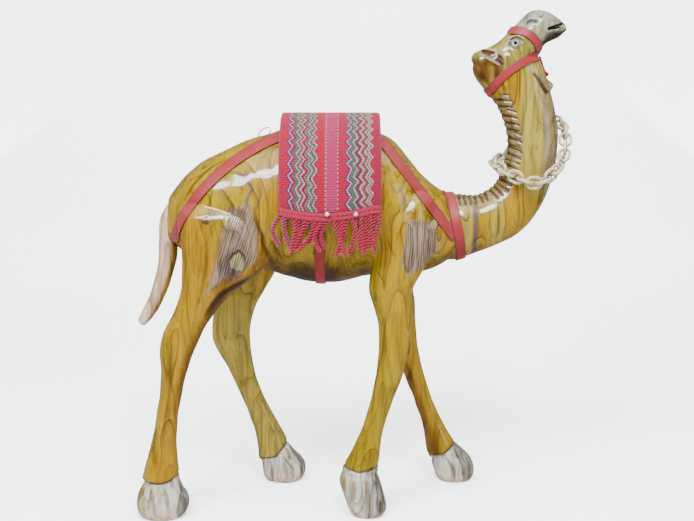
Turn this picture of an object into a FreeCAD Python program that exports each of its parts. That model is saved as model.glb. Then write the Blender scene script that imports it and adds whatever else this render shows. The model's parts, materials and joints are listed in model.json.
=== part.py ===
"""Carved olive-wood camel with a saddle blanket, leather harness and a wooden neck chain.

Frame: +X is forward (the way the camel looks), +Z is up and the left side is +Y.
The origin is on the ground under the middle of the figure.  All sizes are in millimetres.

The figure is one flowing carving made from glued blocks: a body block, a neck-and-head block,
four legs, a tail and two ears.  The whole carving is lofted first and then divided at its glue
planes, so neighbouring blocks meet face to face.  The leather straps are slices of a skin that
lies one strap thickness outside the carving.
"""
import math
import os

import FreeCAD
import Part
import Sketcher
from FreeCAD import Placement, Rotation, Vector

doc = FreeCAD.newDocument("CarvedCamel")
sheet = doc.addObject("Spreadsheet::Sheet", "Sizes")

# Driving dimensions, each one a cell of the sheet under its own name.
DIMENSIONS = {
    # glue planes between the blocks
    "hip_plane": 166, "elbow_plane": 164.5,
    "neck_plane_x": 73.5, "neck_plane_z": 201, "neck_plane_lean": 11,
    # hidden dowels
    "dowel_radius": 4, "dowel_length": 32, "glue_gap": 0.05,
    "hip_dowel_right": -103, "hip_dowel_left": -85, "hip_dowel_out": 29,
    "elbow_dowel_right": 28, "elbow_dowel_left": 32, "elbow_dowel_out": 27,
    "neck_dowel_step": 11,
    "tail_dowel_radius": 2, "tail_dowel_length": 16, "tail_dowel_x": -131.5, "tail_dowel_z": 212,
    "ear_peg_radius": 1.2, "ear_peg_length": 8, "ear_peg_x": 101, "ear_peg_z": 315,
    "ear_peg_inset": 5.6,
    # feet
    "stance": 35, "cleft_width": 1.6, "cleft_depth": 9, "cleft_height": 17,
    # face
    "eye_x": 112.2, "eye_z": 327, "eye_drill_radius": 0.9, "eye_drill_depth": 2.5,
    "mouth_x": 134.6, "mouth_z": 336.2, "mouth_lean": 13.5, "mouth_gap": 1.5, "mouth_spread": 5.5,
    "mouth_length": 20, "mouth_web": 3,
    # leather
    "leather": 1.2, "strap_width": 7, "head_strap_width": 6,
    "crupper_x": 1, "crupper_z": 137.7, "crupper_radius": 136.5, "crupper_low": 190,
    "crupper_start": 41, "crupper_reach": 95, "crupper_seat": 16,
    "spine_gap": 26, "spine_z": 243,
    "girth_x": -21.5,
    "breast_x": 45, "breast_z": 230.5, "breast_lean": 37, "breast_below": 45.5,
    "headstall_x": 144, "headstall_z": 262.8, "headstall_radius": 58.2, "headstall_low": 284,
    "noseband_x": 109.8, "noseband_z": 315.5, "noseband_radius": 21.1,
    # saddle blanket
    "blanket_back": -48.5, "blanket_front": 20, "blanket_edge": 216.5, "blanket_thick": 2.2,
    "arch_centre": 218.5, "arch_half_width": 46.6, "arch_height": 60.6,
    "heading_height": 4.5, "heading_depth": 3.2,
    "fringe_radius": 1.3, "fringe_length": 22, "fringe_pitch": 3,
    "pin_head_radius": 1.5, "pin_shank_radius": 0.4, "pin_length": 9,
    "pin_back": -16, "pin_front": 3,
    # neck chain
    "link_length": 12.2, "link_width": 9.4, "link_band": 2.0, "link_thick": 2.2, "link_round": 0.7,
}

# Cross-sections of the carving, from one end of each limb to the other.  Every section is an
# oval whose long axis lies in the fore-and-aft plane: centre x, centre z, lean of the long axis
# from +X towards +Z in degrees, depth along the long axis and width across.
SECTIONS = {
    "torso": [
        (-129, 207.5, 90, 28, 18), (-121, 208, 90, 48, 42), (-105, 212, 90, 69, 66),
        (-81, 215.8, 90, 84.5, 80), (-55, 217.4, 90, 98.8, 87), (-45, 217.9, 90, 105.8, 88),
        (-31, 218.8, 90, 114.5, 89), (-15, 218.8, 90, 116.5, 90), (1, 219.5, 90, 113, 88),
        (12, 218.2, 90, 105.5, 85), (23, 215.8, 90, 98.7, 81.5), (37, 209.9, 90, 86.8, 73),
        (51, 202.5, 90, 68.5, 62), (63, 200, 90, 54, 51), (71, 200, 90, 44, 42),
    ],
    "neck": [
        (63, 200, 96, 42, 40), (73.5, 201, 101, 47, 44), (94.5, 205, 113, 39.5, 38),
        (106, 210, 125, 38.5, 35), (117, 221, 139, 37, 32), (122, 232, 152, 37, 30),
        (125.5, 244, 164, 36.5, 29), (127.5, 256.5, 175, 35.5, 28.5), (126.5, 270, 180, 37, 28),
        (120.5, 288, 180, 41.5, 28), (113.2, 301, 180, 48.5, 28), (108.9, 312, 180, 48.8, 27),
        (109, 322, 180, 28, 21),
    ],
    "head": [
        (87.3, 311.3, 124, 14, 12), (93.6, 313.8, 122, 21.5, 20.5), (105, 317.4, 121, 23.2, 23),
        (114.5, 324, 118, 25.8, 25), (123.3, 332.3, 114, 27.5, 22), (130.7, 339.2, 112, 24.3, 20),
        (138, 340.3, 110, 19.8, 17.5), (144.4, 339.7, 105, 11.5, 11), (148.6, 338.7, 100, 5, 5),
    ],
    "beard": [(129, 302.5, 63, 10, 8), (134.5, 299.8, 63, 9, 7), (138.5, 297.8, 60, 7.5, 5),
              (140.2, 297, 58, 5, 3)],
    "tail": [
        (-122, 225, 40, 13, 13), (-127.5, 214, 25, 14, 13.5), (-130.5, 201, 8, 13, 13),
        (-130.5, 188, -2, 13.5, 13), (-131.8, 175, -12, 12.6, 12), (-135.6, 161, -20, 11.4, 10.8),
        (-141.2, 147, -30, 10.4, 9.8), (-147.6, 136.2, -38, 9, 8.4), (-152.2, 129.8, -44, 5.6, 5),
    ],
    "hind_right": [
        (-87, 224, 0, 34, 12), (-87, 210, 0, 62, 30), (-85, 191, 0, 63, 34),
        (-88, 176, 0, 57, 33), (-98.3, 160, 0, 38.5, 28), (-109, 143, 0, 28.5, 23),
        (-118.9, 124, 0, 26, 20), (-122.9, 104, 0, 18.8, 17), (-126.5, 82, 0, 15.5, 15),
        (-130, 60, 0, 16.2, 15.5), (-131.9, 45, 0, 19.8, 18.5), (-133.2, 34, 2, 24, 23),
        (-133.8, 27.5, 5, 26.5, 26),
    ],
    "hind_left": [
        (-87, 224, 0, 34, 12), (-87, 210, 0, 62, 30), (-84, 191, 0, 62, 34),
        (-80.8, 176, 0, 55.5, 33), (-81.2, 160, 0, 45.5, 28), (-86.6, 138, 3, 32, 24),
        (-90.3, 113, 10, 28.5, 20), (-85.3, 95, 18, 21, 17.5), (-78.8, 75, 20, 16.5, 15.5),
        (-70.7, 55, 22, 16.6, 16), (-65, 41, 23, 19, 18.5), (-61.5, 30, 26, 23, 22),
        (-60, 22, 29, 26, 25),
    ],
    "fore_right": [
        (34, 228, 0, 24, 10), (35, 214, 0, 40, 26), (36, 194, 0, 42, 31),
        (33, 177, 0, 38, 30), (27.6, 161, 0, 31, 26), (29.8, 140, 0, 24.5, 21),
        (29.3, 118, 0, 20.5, 18.5), (26, 98, 0, 18.3, 17), (20.7, 80, 0, 15.6, 14.5),
        (15, 62, 0, 15.4, 14.5), (11.4, 50, 0, 18.6, 17.5), (8.2, 40, -2, 22.6, 21),
        (6.2, 33, -3, 26, 24),
    ],
    "fore_left": [
        (34, 228, 0, 24, 10), (35, 214, 0, 40, 26), (36, 194, 0, 42, 31),
        (34, 177, 0, 38, 30), (32, 161, 0, 31, 26), (35.7, 138, 4, 25, 21),
        (39.2, 116, 10, 20.8, 18.5), (44.2, 97, 17, 16.5, 16), (50.3, 78, 20, 14, 13.5),
        (56.8, 60, 22, 13.5, 13), (62.5, 45, 24, 15.5, 15), (66.2, 34, 27, 19.3, 19),
        (70.8, 22.8, 31, 23.4, 22.8),
    ],
    "hoof_hind_right": [
        (-133.5, 34, 5, 15, 15), (-133, 25, 3, 25, 24), (-133, 17, 0, 33, 30),
        (-132.5, 8, 0, 37, 34), (-133, 2, 0, 33, 31), (-133, 0, 0, 28, 27),
    ],
    "hoof_hind_left": [
        (-61, 28, 29, 15, 15), (-58, 20.5, 27, 25, 24), (-53.5, 13.5, 14, 31, 29),
        (-51.5, 7.5, 5, 33.5, 32), (-51.5, 2, 0, 30, 29), (-51.5, 0, 0, 26, 25),
    ],
    "hoof_fore_right": [
        (7, 40, -3, 14, 14), (6.3, 31, -6, 25, 24), (6.9, 22, -12, 31, 28),
        (9.6, 12, -14, 31.5, 28), (11, 3.5, -6, 26, 24), (11.2, 0, 0, 20, 19),
    ],
    "hoof_fore_left": [
        (70, 29, 31, 14, 14), (72.7, 21.5, 30, 22.5, 22), (77.4, 14.5, 17, 29, 27),
        (80.2, 8, 6, 31, 29.5), (80.4, 2, 0, 28, 27), (80.4, 0, 0, 24, 23),
    ],
}

# Centre lines of the limbs across the body: how far out each section stands, from the middle.
SPREAD = {
    "hind": (25, 27.5, 28.5, 28.5, 29, 30, 31, 32, 33, 34, 34.5, 35, 35),
    "fore": (24, 25, 26, 26.5, 27.5, 28.5, 30, 31.5, 32.5, 33.5, 34.5, 35, 35),
    "ear": (10.6, 12, 13.2, 14),
}

# Sections of one ear, laid back along the side of the head.
SECTIONS["ear"] = [(108, 312, 60, 3, 2.5), (102.5, 314.5, 62, 7.5, 4), (95, 318, 66, 8, 4.5),
                   (87.5, 320.8, 70, 2, 1.5)]

# The neck chain's route: nape, down the right side, up the throat, back along the left side.
CHAIN_ROUTE = [
    (101.3, 0, 245.5), (106.5, -16, 240.5), (116, -21.5, 235.5), (126, -22.5, 233),
    (136, -20.5, 237), (144, -15, 245), (149, -7.5, 254.5), (150.5, -0.5, 264),
    (149.5, 6, 271.5), (145, 12.5, 274.5), (138.5, 17, 271), (131.5, 19.5, 264.5),
    (124, 20.5, 258), (115.5, 19, 252), (107, 14, 248),
]
CHAIN_LINKS = 26


# ---------------------------------------------------------------- the spreadsheet
def fill_sheet():
    """Write every driving dimension and every section into the sheet, one alias per cell."""
    cells = dict(DIMENSIONS)
    for limb, rows in SECTIONS.items():
        for number, row in enumerate(rows):
            for word, value in zip(("x", "z", "lean", "depth", "width"), row):
                cells[f"{limb}_{number}_{word}"] = value
    for line, (name, value) in enumerate(cells.items(), start=1):
        sheet.set(f"A{line}", name)
        sheet.set(f"B{line}", str(value))
        sheet.setAlias(f"B{line}", name)


def cell(name):
    """The value of a sheet cell as a number."""
    return float(sheet.get(name))


def bind(item, **expressions):
    """Bind properties of a document object to expressions over the sheet's cells."""
    for prop, expression in expressions.items():
        item.setExpression(prop.replace("__", "."), expression)
    return item


def use(text):
    """Spell sheet cells, written as [name], the way the expression engine wants them."""
    return text.replace("[", "<<Sizes>>.").replace("]", "")


def place(item, x, y, z, axis="0; 1; 0", angle="0"):
    """Bind an object's placement: a position and a turn about one axis, as sheet expressions."""
    turn = f"rotation(vector({axis}); {angle})"
    item.setExpression("Placement", use(f"placement(vector({x}; {y}; {z}); {turn})"))
    return item


# ---------------------------------------------------------------- general solids
def fuse(name, items):
    result = doc.addObject("Part::MultiFuse", name)
    result.Shapes, result.Refine = items, False
    return result


def weld(name, items):
    """Join touching limbs one after another into a single solid."""
    joined = items[0]
    for number, item in enumerate(items[1:]):
        step = doc.addObject("Part::Fuse", f"{name}_{number}")
        step.Base, step.Tool, step.Refine = joined, item, False
        joined = step
    return joined


def cut(name, base, tool):
    result = doc.addObject("Part::Cut", name)
    result.Base, result.Tool, result.Refine = base, tool, False
    return result


def cut_all(name, base, tools):
    """Cut several tools from a base one after another."""
    for number, tool in enumerate(tools):
        base = cut(f"{name}_{number}", base, tool)
    return base


def common(name, base, tool):
    result = doc.addObject("Part::Common", name)
    result.Base, result.Tool, result.Refine = base, tool, False
    return result


def box(name, length, width, height, **where):
    """A box of the given size.  where holds place()'s arguments for its lowest corner."""
    item = doc.addObject("Part::Box", name)
    bind(item, Length=use(length), Width=use(width), Height=use(height))
    return place(item, **where)


def rod(name, radius, length, **where):
    """A cylinder whose base is at the given place, along the turned Z axis."""
    item = doc.addObject("Part::Cylinder", name)
    bind(item, Radius=use(radius), Height=use(length))
    return place(item, **where)


def plate(name, thick, width, height, below, x, z, turn):
    """A plate seen edge-on from the side, turned about Y at (x, z), which it reaches below."""
    item = box(name, thick, str(width), str(height), x=0, y=0, z=0)
    item.setExpression("Placement", use(
        f"placement(vector({x}; 0; {z}); rotation(vector(0; 1; 0); {turn})) * "
        f"placement(vector(-({thick}) / 2; -{width} / 2; -{below}); "
        "rotation(vector(0; 1; 0); 0))"))
    return item


def limb(name, label, outward=None, skin=False):
    """Loft the ovals of one limb.  skin=True makes the same limb one strap thickness larger."""
    grow = " + <<Sizes>>.leather" if skin else ""
    ovals = []
    for number in range(len(SECTIONS[name])):
        oval = doc.addObject("Part::Ellipse", f"{label}_oval_{number}")
        key = f"{name}_{number}"
        bind(oval, MajorRadius=use(f"[{key}_depth] / 2") + grow,
             MinorRadius=use(f"[{key}_width] / 2") + grow)
        y = outward[number] if outward else 0
        place(oval, f"[{key}_x]", y, f"[{key}_z]", "0; -1; 0", f"[{key}_lean]")
        ovals.append(oval)
    loft = doc.addObject("Part::Loft", label)
    loft.Sections, loft.Solid, loft.Ruled = ovals, True, False
    return loft


def mirrored(values, side):
    """Offsets across the body for the left side (+1) or the right side (-1)."""
    return [side * value for value in values]


# ---------------------------------------------------------------- the carving
SIDES = {"right": -1, "left": 1}
LEG_NAMES = {"hind": "rear_leg", "fore": "front_leg"}
NODES = {}


def leg(pair, side_name, skin=False):
    """One leg from the top of its haunch or shoulder down to the cuff above the hoof."""
    suffix = "_skin" if skin else "_limb"
    spread = mirrored(SPREAD[pair], SIDES[side_name])
    return limb(f"{pair}_{side_name}", f"{pair}_{side_name}{suffix}", spread, skin)


def hoof(pair, side_name):
    """One hoof, from inside the cuff down to its flat sole, with the cleft between its toes."""
    stance = SIDES[side_name] * cell("stance")
    key = f"hoof_{pair}_{side_name}"
    horn = limb(key, key, [stance] * len(SECTIONS[key]))
    widest = f"{key}_3"
    cleft = box(f"{key}_cleft", "[cleft_depth]", "[cleft_width]", "[cleft_height]",
                x=f"[{widest}_x] + [{widest}_depth] / 2 - [cleft_depth] + 2",
                y=f"{stance} - [cleft_width] / 2", z="-1")
    return cut(f"{key}_cloven", horn, cleft)


def make_limbs():
    """Every limb of the figure, whole, under its own name."""
    limbs = {name: limb(name, f"{name}_limb") for name in ("torso", "neck", "head", "beard")}
    for pair in LEG_NAMES:
        for side_name in SIDES:
            limbs[f"{pair}_{side_name}"] = leg(pair, side_name)
            limbs[f"hoof_{pair}_{side_name}"] = hoof(pair, side_name)
    return limbs


def face_cuts():
    """The widening gap between the lips, cut in from each side, and the drilled pupils."""
    cuts = []
    for side_name, side in SIDES.items():
        for lip, extra in (("lower", "0"), ("upper", "[mouth_spread]")):
            cuts.append(box(f"mouth_{side_name}_{lip}", "[mouth_length]", "20", "[mouth_gap]",
                            x="[mouth_x]", z="[mouth_z]", angle=f"-[mouth_lean] - {extra}",
                            y=f"{side} * ([mouth_web] / 2 + 10) - 10"))
        cuts.append(rod(f"pupil_{side_name}", "[eye_drill_radius]", "20 + [eye_drill_depth]",
                        x="[eye_x]", y=side * 9, z="[eye_z]", axis="1; 0; 0", angle=-90 * side))
    return cuts


# ---------------------------------------------------------------- glue planes and dowels
def make_dowels():
    """Hidden dowels, and the slightly larger holes that they are glued into."""
    spots = {}
    for side_name, side in SIDES.items():
        for joint in ("hip", "elbow"):
            spots[f"{joint}_{side_name}"] = (f"[{joint}_dowel_{side_name}]",
                                             f"{side} * [{joint}_dowel_out]", f"[{joint}_plane]")
    dowels, holes = {}, []
    for name, (x, y, z) in spots.items():
        where = dict(x=x, y=y)
        dowels[name] = rod(f"{name}_dowel", "[dowel_radius]", "[dowel_length]",
                           z=f"{z} - [dowel_length] / 2", **where)
        holes.append(rod(f"{name}_hole", "[dowel_radius] + [glue_gap]",
                         "[dowel_length] + 2 * [glue_gap]",
                         z=f"{z} - [dowel_length] / 2 - [glue_gap]", **where))
    for name, step in (("neck_upper", "[neck_dowel_step]"), ("neck_lower", "-[neck_dowel_step]")):
        for kind, extra in (("dowel", "0"), ("hole", "[glue_gap]")):
            centre = "placement(vector([neck_plane_x]; 0; [neck_plane_z]); " \
                     "rotation(vector(0; 1; 0); -[neck_plane_lean]))"
            shift = f"placement(vector(-[dowel_length] / 2 - ({extra}); 0; {step}); " \
                    "rotation(vector(0; 1; 0); 90))"
            peg = rod(f"{name}_{kind}", f"[dowel_radius] + {extra}",
                      f"[dowel_length] + 2 * ({extra})", x=0, y=0, z=0)
            peg.setExpression("Placement", use(f"{centre} * {shift}"))
            if kind == "dowel":
                dowels[name] = peg
            else:
                holes.append(peg)
    return dowels, holes


def make_tail_and_ear_pegs():
    """The tail's own dowel and the pegs that hold the ears, with their holes."""
    made = {}
    for kind, extra in (("dowel", "0"), ("hole", "[glue_gap]")):
        made[f"tail_{kind}"] = rod(f"tail_{kind}", f"[tail_dowel_radius] + {extra}",
                                   f"[tail_dowel_length] + 2 * ({extra})",
                                   x=f"[tail_dowel_x] - ({extra})", y=0, z="[tail_dowel_z]",
                                   angle=90)
        for side_name, side in SIDES.items():
            name = f"ear_{side_name}_{kind}"
            made[name] = rod(name, f"[ear_peg_radius] + {extra}",
                             f"[ear_peg_length] + 2 * ({extra})", x="[ear_peg_x]",
                             y=f"{side} * ([ear_peg_inset] - ({extra}))", z="[ear_peg_z]",
                             axis="1; 0; 0", angle=-90 * side)
    pegs = {name[:-6]: item for name, item in made.items() if name.endswith("_dowel")}
    return pegs, [item for name, item in made.items() if name.endswith("_hole")]


def below(pair):
    """The region under the glue plane of the front or the rear legs."""
    plane = {"hind": "[hip_plane]", "fore": "[elbow_plane]"}[pair]
    return box(f"below_{pair}", "400", "200", f"{plane} + 5", x=-200, y=-100, z="-5")


def neck_block():
    """The region ahead of the leaning plane between the body and the neck."""
    item = box("neck_block", "140", "80", "260", x=0, y=0, z=0)
    item.setExpression("Placement", use(
        "placement(vector([neck_plane_x]; 0; [neck_plane_z]); "
        "rotation(vector(0; 1; 0); -[neck_plane_lean])) * "
        "placement(vector(0; -40; -30); rotation(vector(0; 1; 0); 0))"))
    return item


def finish(label, item):
    """Give a finished sub-part the label that names its node."""
    item.Label = label
    NODES[label] = item
    return item


def make_wood():
    """Divide the limbs at their glue planes, join what each block holds and drill it."""
    limbs = make_limbs()
    dowels, dowel_holes = make_dowels()
    pegs, peg_holes = make_tail_and_ear_pegs()
    holes = fuse("dowel_holes", dowel_holes + peg_holes)
    in_torso = [limbs["torso"]]
    for pair, name in LEG_NAMES.items():
        block = below(pair)
        for side_name in SIDES:
            key = f"{pair}_{side_name}"
            lower = weld(f"{key}_lower", [common(f"{key}_below", limbs[key], block),
                                          limbs[f"hoof_{key}"]])
            in_torso.append(cut(f"{key}_above", limbs[key], block))
            finish(f"{name}_{side_name}", cut(f"{key}_drilled", lower, holes))
    ahead = neck_block()
    in_torso.append(cut("neck_root", limbs["neck"], ahead))
    body = cut_all("body_drilled", weld("body", in_torso), (ahead, holes))
    finish("torso", body)
    front = weld("front", [common("neck_ahead", limbs["neck"], ahead), limbs["head"],
                           limbs["beard"]])
    finish("neck_and_head", cut_all("front_drilled", front, [holes] + face_cuts()))
    legs = [peg for name, peg in dowels.items() if not name.startswith("neck")]
    finish("leg_dowels", fuse("leg_dowel_set", legs))
    finish("neck_dowels", fuse("neck_dowel_set", [dowels["neck_upper"], dowels["neck_lower"]]))
    finish("tail_dowel", pegs["tail"])
    finish("ear_pegs", fuse("ear_peg_set", [pegs["ear_right"], pegs["ear_left"]]))
    return weld("carving", list(limbs.values())), holes


def make_ears(carving, holes):
    for side_name, side in SIDES.items():
        leaf = limb("ear", f"ear_{side_name}_leaf", mirrored(SPREAD["ear"], side))
        coped = cut(f"ear_{side_name}_coped", leaf, carving)
        finish(f"ear_{side_name}", cut(f"ear_{side_name}_drilled", coped, holes))


# ---------------------------------------------------------------- leather
def make_skin():
    """The carving's body, neck and head, one strap thickness larger all round."""
    body = [limb("torso", "torso_skin", skin=True), limb("neck", "neck_skin", skin=True)]
    body += [leg(pair, side_name, skin=True) for pair in ("hind", "fore") for side_name in SIDES]
    head = [limb("neck", "nape_skin", skin=True), limb("head", "head_skin", skin=True)]
    return weld("body_skin", body), weld("head_skin_all", head)


def strap(name, skin, band, *under):
    """A strap: the part of the skin inside a band, less the carving and what lies over it."""
    shell = common(f"{name}_shell", skin, band)
    return finish(name, cut_all(f"{name}_fitted", shell, under))


def curved_band(name, width, reach, **corner):
    """A band that follows an arc in the side view, kept inside a square window of that reach."""
    for edge, offset in (("outer", "+"), ("inner", "-")):
        rod(f"{name}_{edge}", f"[{name}_radius] {offset} [{width}] / 2", "120",
            x=f"[{name}_x]", y=60, z=f"[{name}_z]", axis="1; 0; 0", angle=90)
    ring = cut(f"{name}_ring", doc.getObject(f"{name}_outer"), doc.getObject(f"{name}_inner"))
    window = box(f"{name}_window", reach, "120", reach, y=-60, **corner)
    return common(f"{name}_arc", ring, window)


def crupper_band():
    """A curved band from the back of the blanket round the haunch, and on under the tail."""
    arc = curved_band("crupper", "strap_width", "[crupper_reach]", z="[crupper_low]",
                      x="[crupper_x] - [crupper_start] - [crupper_reach]")
    seat = box("crupper_seat", "40", "28", "[strap_width]",
               x="[crupper_x] - [crupper_radius] - [crupper_seat]", y=-14, z="[crupper_low]")
    return cut("crupper_band", fuse("crupper_path", [arc, seat]), over_spine())


def over_spine():
    """A gap along the spine: no strap crosses the top of the back outside the blanket."""
    return box("spine_gap", "240", "[spine_gap]", "60", x=-120, y="-[spine_gap] / 2",
               z="[spine_z]")


def make_straps(carving):
    body_skin, head_skin = make_skin()
    collar_band = plate("collar_band", "[strap_width]", 160, 160, 80, "[neck_plane_x]",
                        "[neck_plane_z]", "-[neck_plane_lean]")
    collar = strap("neck_collar", body_skin, collar_band, carving)
    strap("crupper_strap", body_skin, crupper_band(), carving)
    girth_band = box("girth_band", "[strap_width]", "160", "160",
                     x="[girth_x] - [strap_width] / 2", y=-80, z=140)
    strap("girth_strap", body_skin, girth_band, carving)
    breast = plate("breast_band", "[strap_width]", 160, 92, "[breast_below]", "[breast_x]",
                   "[breast_z]", "-[breast_lean]")
    strap("breast_straps", body_skin, cut("breast_pair", breast, over_spine()), carving, collar)
    stall = curved_band("headstall", "head_strap_width", "60", x="[headstall_x] - 67",
                        z="[headstall_low]")
    headstall = strap("headstall", head_skin, stall, carving)
    nose = curved_band("noseband", "head_strap_width", "40", x="[noseband_x] - 1.2",
                       z="[noseband_z] + 3")
    strap("noseband", head_skin, nose, carving, headstall)


# ---------------------------------------------------------------- blanket
def make_blanket():
    """The rug: an arch over the hump that hangs straight down on both sides."""
    for name, extra in (("outer", "[blanket_thick]"), ("inner", "0")):
        arch = doc.addObject("Part::Ellipse", f"arch_{name}")
        bind(arch, MajorRadius=use(f"[arch_height] + {extra}"),
             MinorRadius=use(f"[arch_half_width] + {extra}"))
        arch.setExpression("Placement", use(
            "placement(vector([blanket_back]; 0; [arch_centre]); "
            "rotation(vector(0; 1; 0); -90))"))
        tube = doc.addObject("Part::Extrusion", f"tube_{name}")
        tube.Base, tube.DirMode, tube.Dir, tube.Solid = arch, "Custom", Vector(1, 0, 0), True
        bind(tube, LengthFwd=use("[blanket_front] - [blanket_back]"))
    tunnel = cut("blanket_tunnel", doc.getObject("tube_outer"), doc.getObject("tube_inner"))
    upper = box("blanket_upper", "120", "140", "90", x="[blanket_back] - 20", y=-70,
                z="[blanket_edge]")
    return finish("saddle_blanket", common("blanket_cut", tunnel, upper))


def make_trim():
    """The braided heading and the corded fringe along each lower edge, and their pins."""
    count = int((cell("blanket_front") - cell("blanket_back")) / cell("fringe_pitch"))
    pins = []
    for side_name, side in SIDES.items():
        near = "[arch_half_width] + 0.1" if side > 0 else "-[arch_half_width] - 0.1 - [heading_depth]"
        heading = box(f"heading_{side_name}_bar", "[blanket_front] - [blanket_back]",
                      "[heading_depth]", "[heading_height]", x="[blanket_back]", y=near,
                      z="[blanket_edge] - [heading_height]")
        cords = []
        for number in range(count):
            cords.append(rod(
                f"fringe_{side_name}_{number}", "[fringe_radius]", "[fringe_length]",
                x=f"[blanket_back] + [fringe_pitch] * ({number} + 0.8)",
                y=f"{side} * ([arch_half_width] + 0.1 + [heading_depth] / 2)",
                z="[blanket_edge] - [heading_height] - [fringe_length]"))
        finish(f"fringe_heading_{side_name}", heading)
        finish(f"fringe_{side_name}", fuse(f"fringe_{side_name}_cords", cords))
        for spot in ("back", "front"):
            pins.append(make_pin(f"pin_{side_name}_{spot}", f"[pin_{spot}]", side))
    finish("blanket_pins", fuse("blanket_pin_set", pins))


def make_pin(name, x, side):
    """A round-headed pin pressed through the heading into the wood."""
    y = f"{side} * ([arch_half_width] + 0.1 + [heading_depth])"
    z = "[blanket_edge] - [heading_height] / 2"
    head = doc.addObject("Part::Sphere", f"{name}_head")
    bind(head, Radius=use("[pin_head_radius]"))
    place(head, x, f"{y} + {side} * ([pin_head_radius] + 0.05)", z)
    shank = rod(f"{name}_shank", "[pin_shank_radius]", "[pin_length]", x=x,
                y=f"{y} + {side} * [pin_head_radius]", z=z, axis="1; 0; 0", angle=90 * side)
    return fuse(name, [head, shank])


# ---------------------------------------------------------------- neck chain
def link_sketch(body):
    """Outer and inner outline of an oval link: two slots around the same centre."""
    sketch = body.newObject("Sketcher::SketchObject", f"{body.Name}_outline")
    plane = next(item for item in body.Origin.OriginFeatures if item.Role == "XY_Plane")
    sketch.AttachmentSupport, sketch.MapMode = [(plane, "")], "FlatFace"
    up = Vector(0, 0, 1)
    half = (cell("link_length") - cell("link_width")) / 2
    for radius, inset in ((cell("link_width") / 2, "0"),
                          (cell("link_width") / 2 - cell("link_band"), "<<Sizes>>.link_band")):
        first = sketch.GeometryCount
        right = Part.Circle(Vector(half, 0, 0), up, radius)
        left = Part.Circle(Vector(-half, 0, 0), up, radius)
        sketch.addGeometry(Part.ArcOfCircle(right, -math.pi / 2, math.pi / 2))
        sketch.addGeometry(Part.LineSegment(Vector(half, radius, 0), Vector(-half, radius, 0)))
        sketch.addGeometry(Part.ArcOfCircle(left, math.pi / 2, 3 * math.pi / 2))
        sketch.addGeometry(Part.LineSegment(Vector(-half, -radius, 0), Vector(half, -radius, 0)))
        for step in range(4):
            sketch.addConstraint(Sketcher.Constraint(
                "Tangent", first + step, 2, first + (step + 1) % 4, 1))
        sketch.addConstraint(Sketcher.Constraint("PointOnObject", first, 3, -1))
        sketch.addConstraint(Sketcher.Constraint("Symmetric", first, 3, first + 2, 3, -1, 1))
        turn = sketch.addConstraint(Sketcher.Constraint("Radius", first, radius))
        span = sketch.addConstraint(Sketcher.Constraint("DistanceX", -1, 1, first, 3, half))
        sketch.setExpression(f"Constraints[{turn}]", f"<<Sizes>>.link_width / 2 - {inset}")
        sketch.setExpression(f"Constraints[{span}]",
                             "(<<Sizes>>.link_length - <<Sizes>>.link_width) / 2")
    return sketch


def link_pad(number):
    """A flat oval link, still with square edges, in a body of its own."""
    body = doc.addObject("PartDesign::Body", f"link_{number:02d}")
    pad = body.newObject("PartDesign::Pad", f"link_{number:02d}_pad")
    pad.Profile = link_sketch(body)
    pad.Midplane = True
    bind(pad, Length="<<Sizes>>.link_thick")
    return body, pad


def round_link(body, pad):
    """Round all the rims of a link, outside and inside."""
    fillet = body.newObject("PartDesign::Fillet", f"{body.Name}_round")
    rims = [f"Edge{index + 1}" for index, edge in enumerate(pad.Shape.Edges)
            if edge.BoundBox.ZLength < 1e-6]
    fillet.Base = (pad, rims)
    bind(fillet, Radius="<<Sizes>>.link_round")
    body.Tip = fillet


def chain_placements():
    """Where each link lies: evenly along the route, turned a quarter from its neighbour."""
    route = Part.BSplineCurve()
    route.interpolate([Vector(*point) for point in CHAIN_ROUTE], PeriodicFlag=True)
    points = route.discretize(Number=CHAIN_LINKS + 1)[:-1]
    pitch = route.length() / CHAIN_LINKS
    print(f"chain: {route.length():.1f} mm around, pitch {pitch:.2f} mm")
    placements = []
    for number, point in enumerate(points):
        ahead = points[(number + 1) % CHAIN_LINKS] - points[number - 1]
        along = ahead.normalize()
        outward = point - neck_axis(point)
        outward = (outward - along * outward.dot(along)).normalize()
        aside = outward.cross(along).normalize()
        roll = math.radians(90 if number % 2 else 0)
        across = outward * math.sin(roll) + aside * math.cos(roll)
        normal = along.cross(across)
        placements.append(Placement(point, Rotation(along, across, normal, "XYZ")))
    return placements


def neck_axis(point):
    """The point on the neck's centre line that is level with a point of the chain."""
    rows = [(row[0], row[1]) for row in SECTIONS["neck"]]
    for (x0, z0), (x1, z1) in zip(rows, rows[1:]):
        if z0 <= point.z <= z1:
            share = (point.z - z0) / (z1 - z0)
            return Vector(x0 + share * (x1 - x0), 0, point.z)
    return Vector(rows[-1][0], 0, point.z)


def make_chain():
    pads = [link_pad(number) for number in range(CHAIN_LINKS)]
    doc.recompute()
    for number, ((body, pad), placement) in enumerate(zip(pads, chain_placements())):
        round_link(body, pad)
        body.Placement = placement
        finish(f"chain_link_{number:02d}", body)


# ---------------------------------------------------------------- build, check and write
def check():
    """Stop if any object failed, or any sub-part is empty or not valid."""
    for item in doc.Objects:
        if "Invalid" in item.State or "Error" in item.State:
            raise RuntimeError(f"{item.Name} did not build: {item.State}")
    for name, item in NODES.items():
        if item.Shape.isNull() or not item.Shape.isValid() or not item.Shape.Solids:
            raise RuntimeError(f"{name} has no valid solid")


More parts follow.
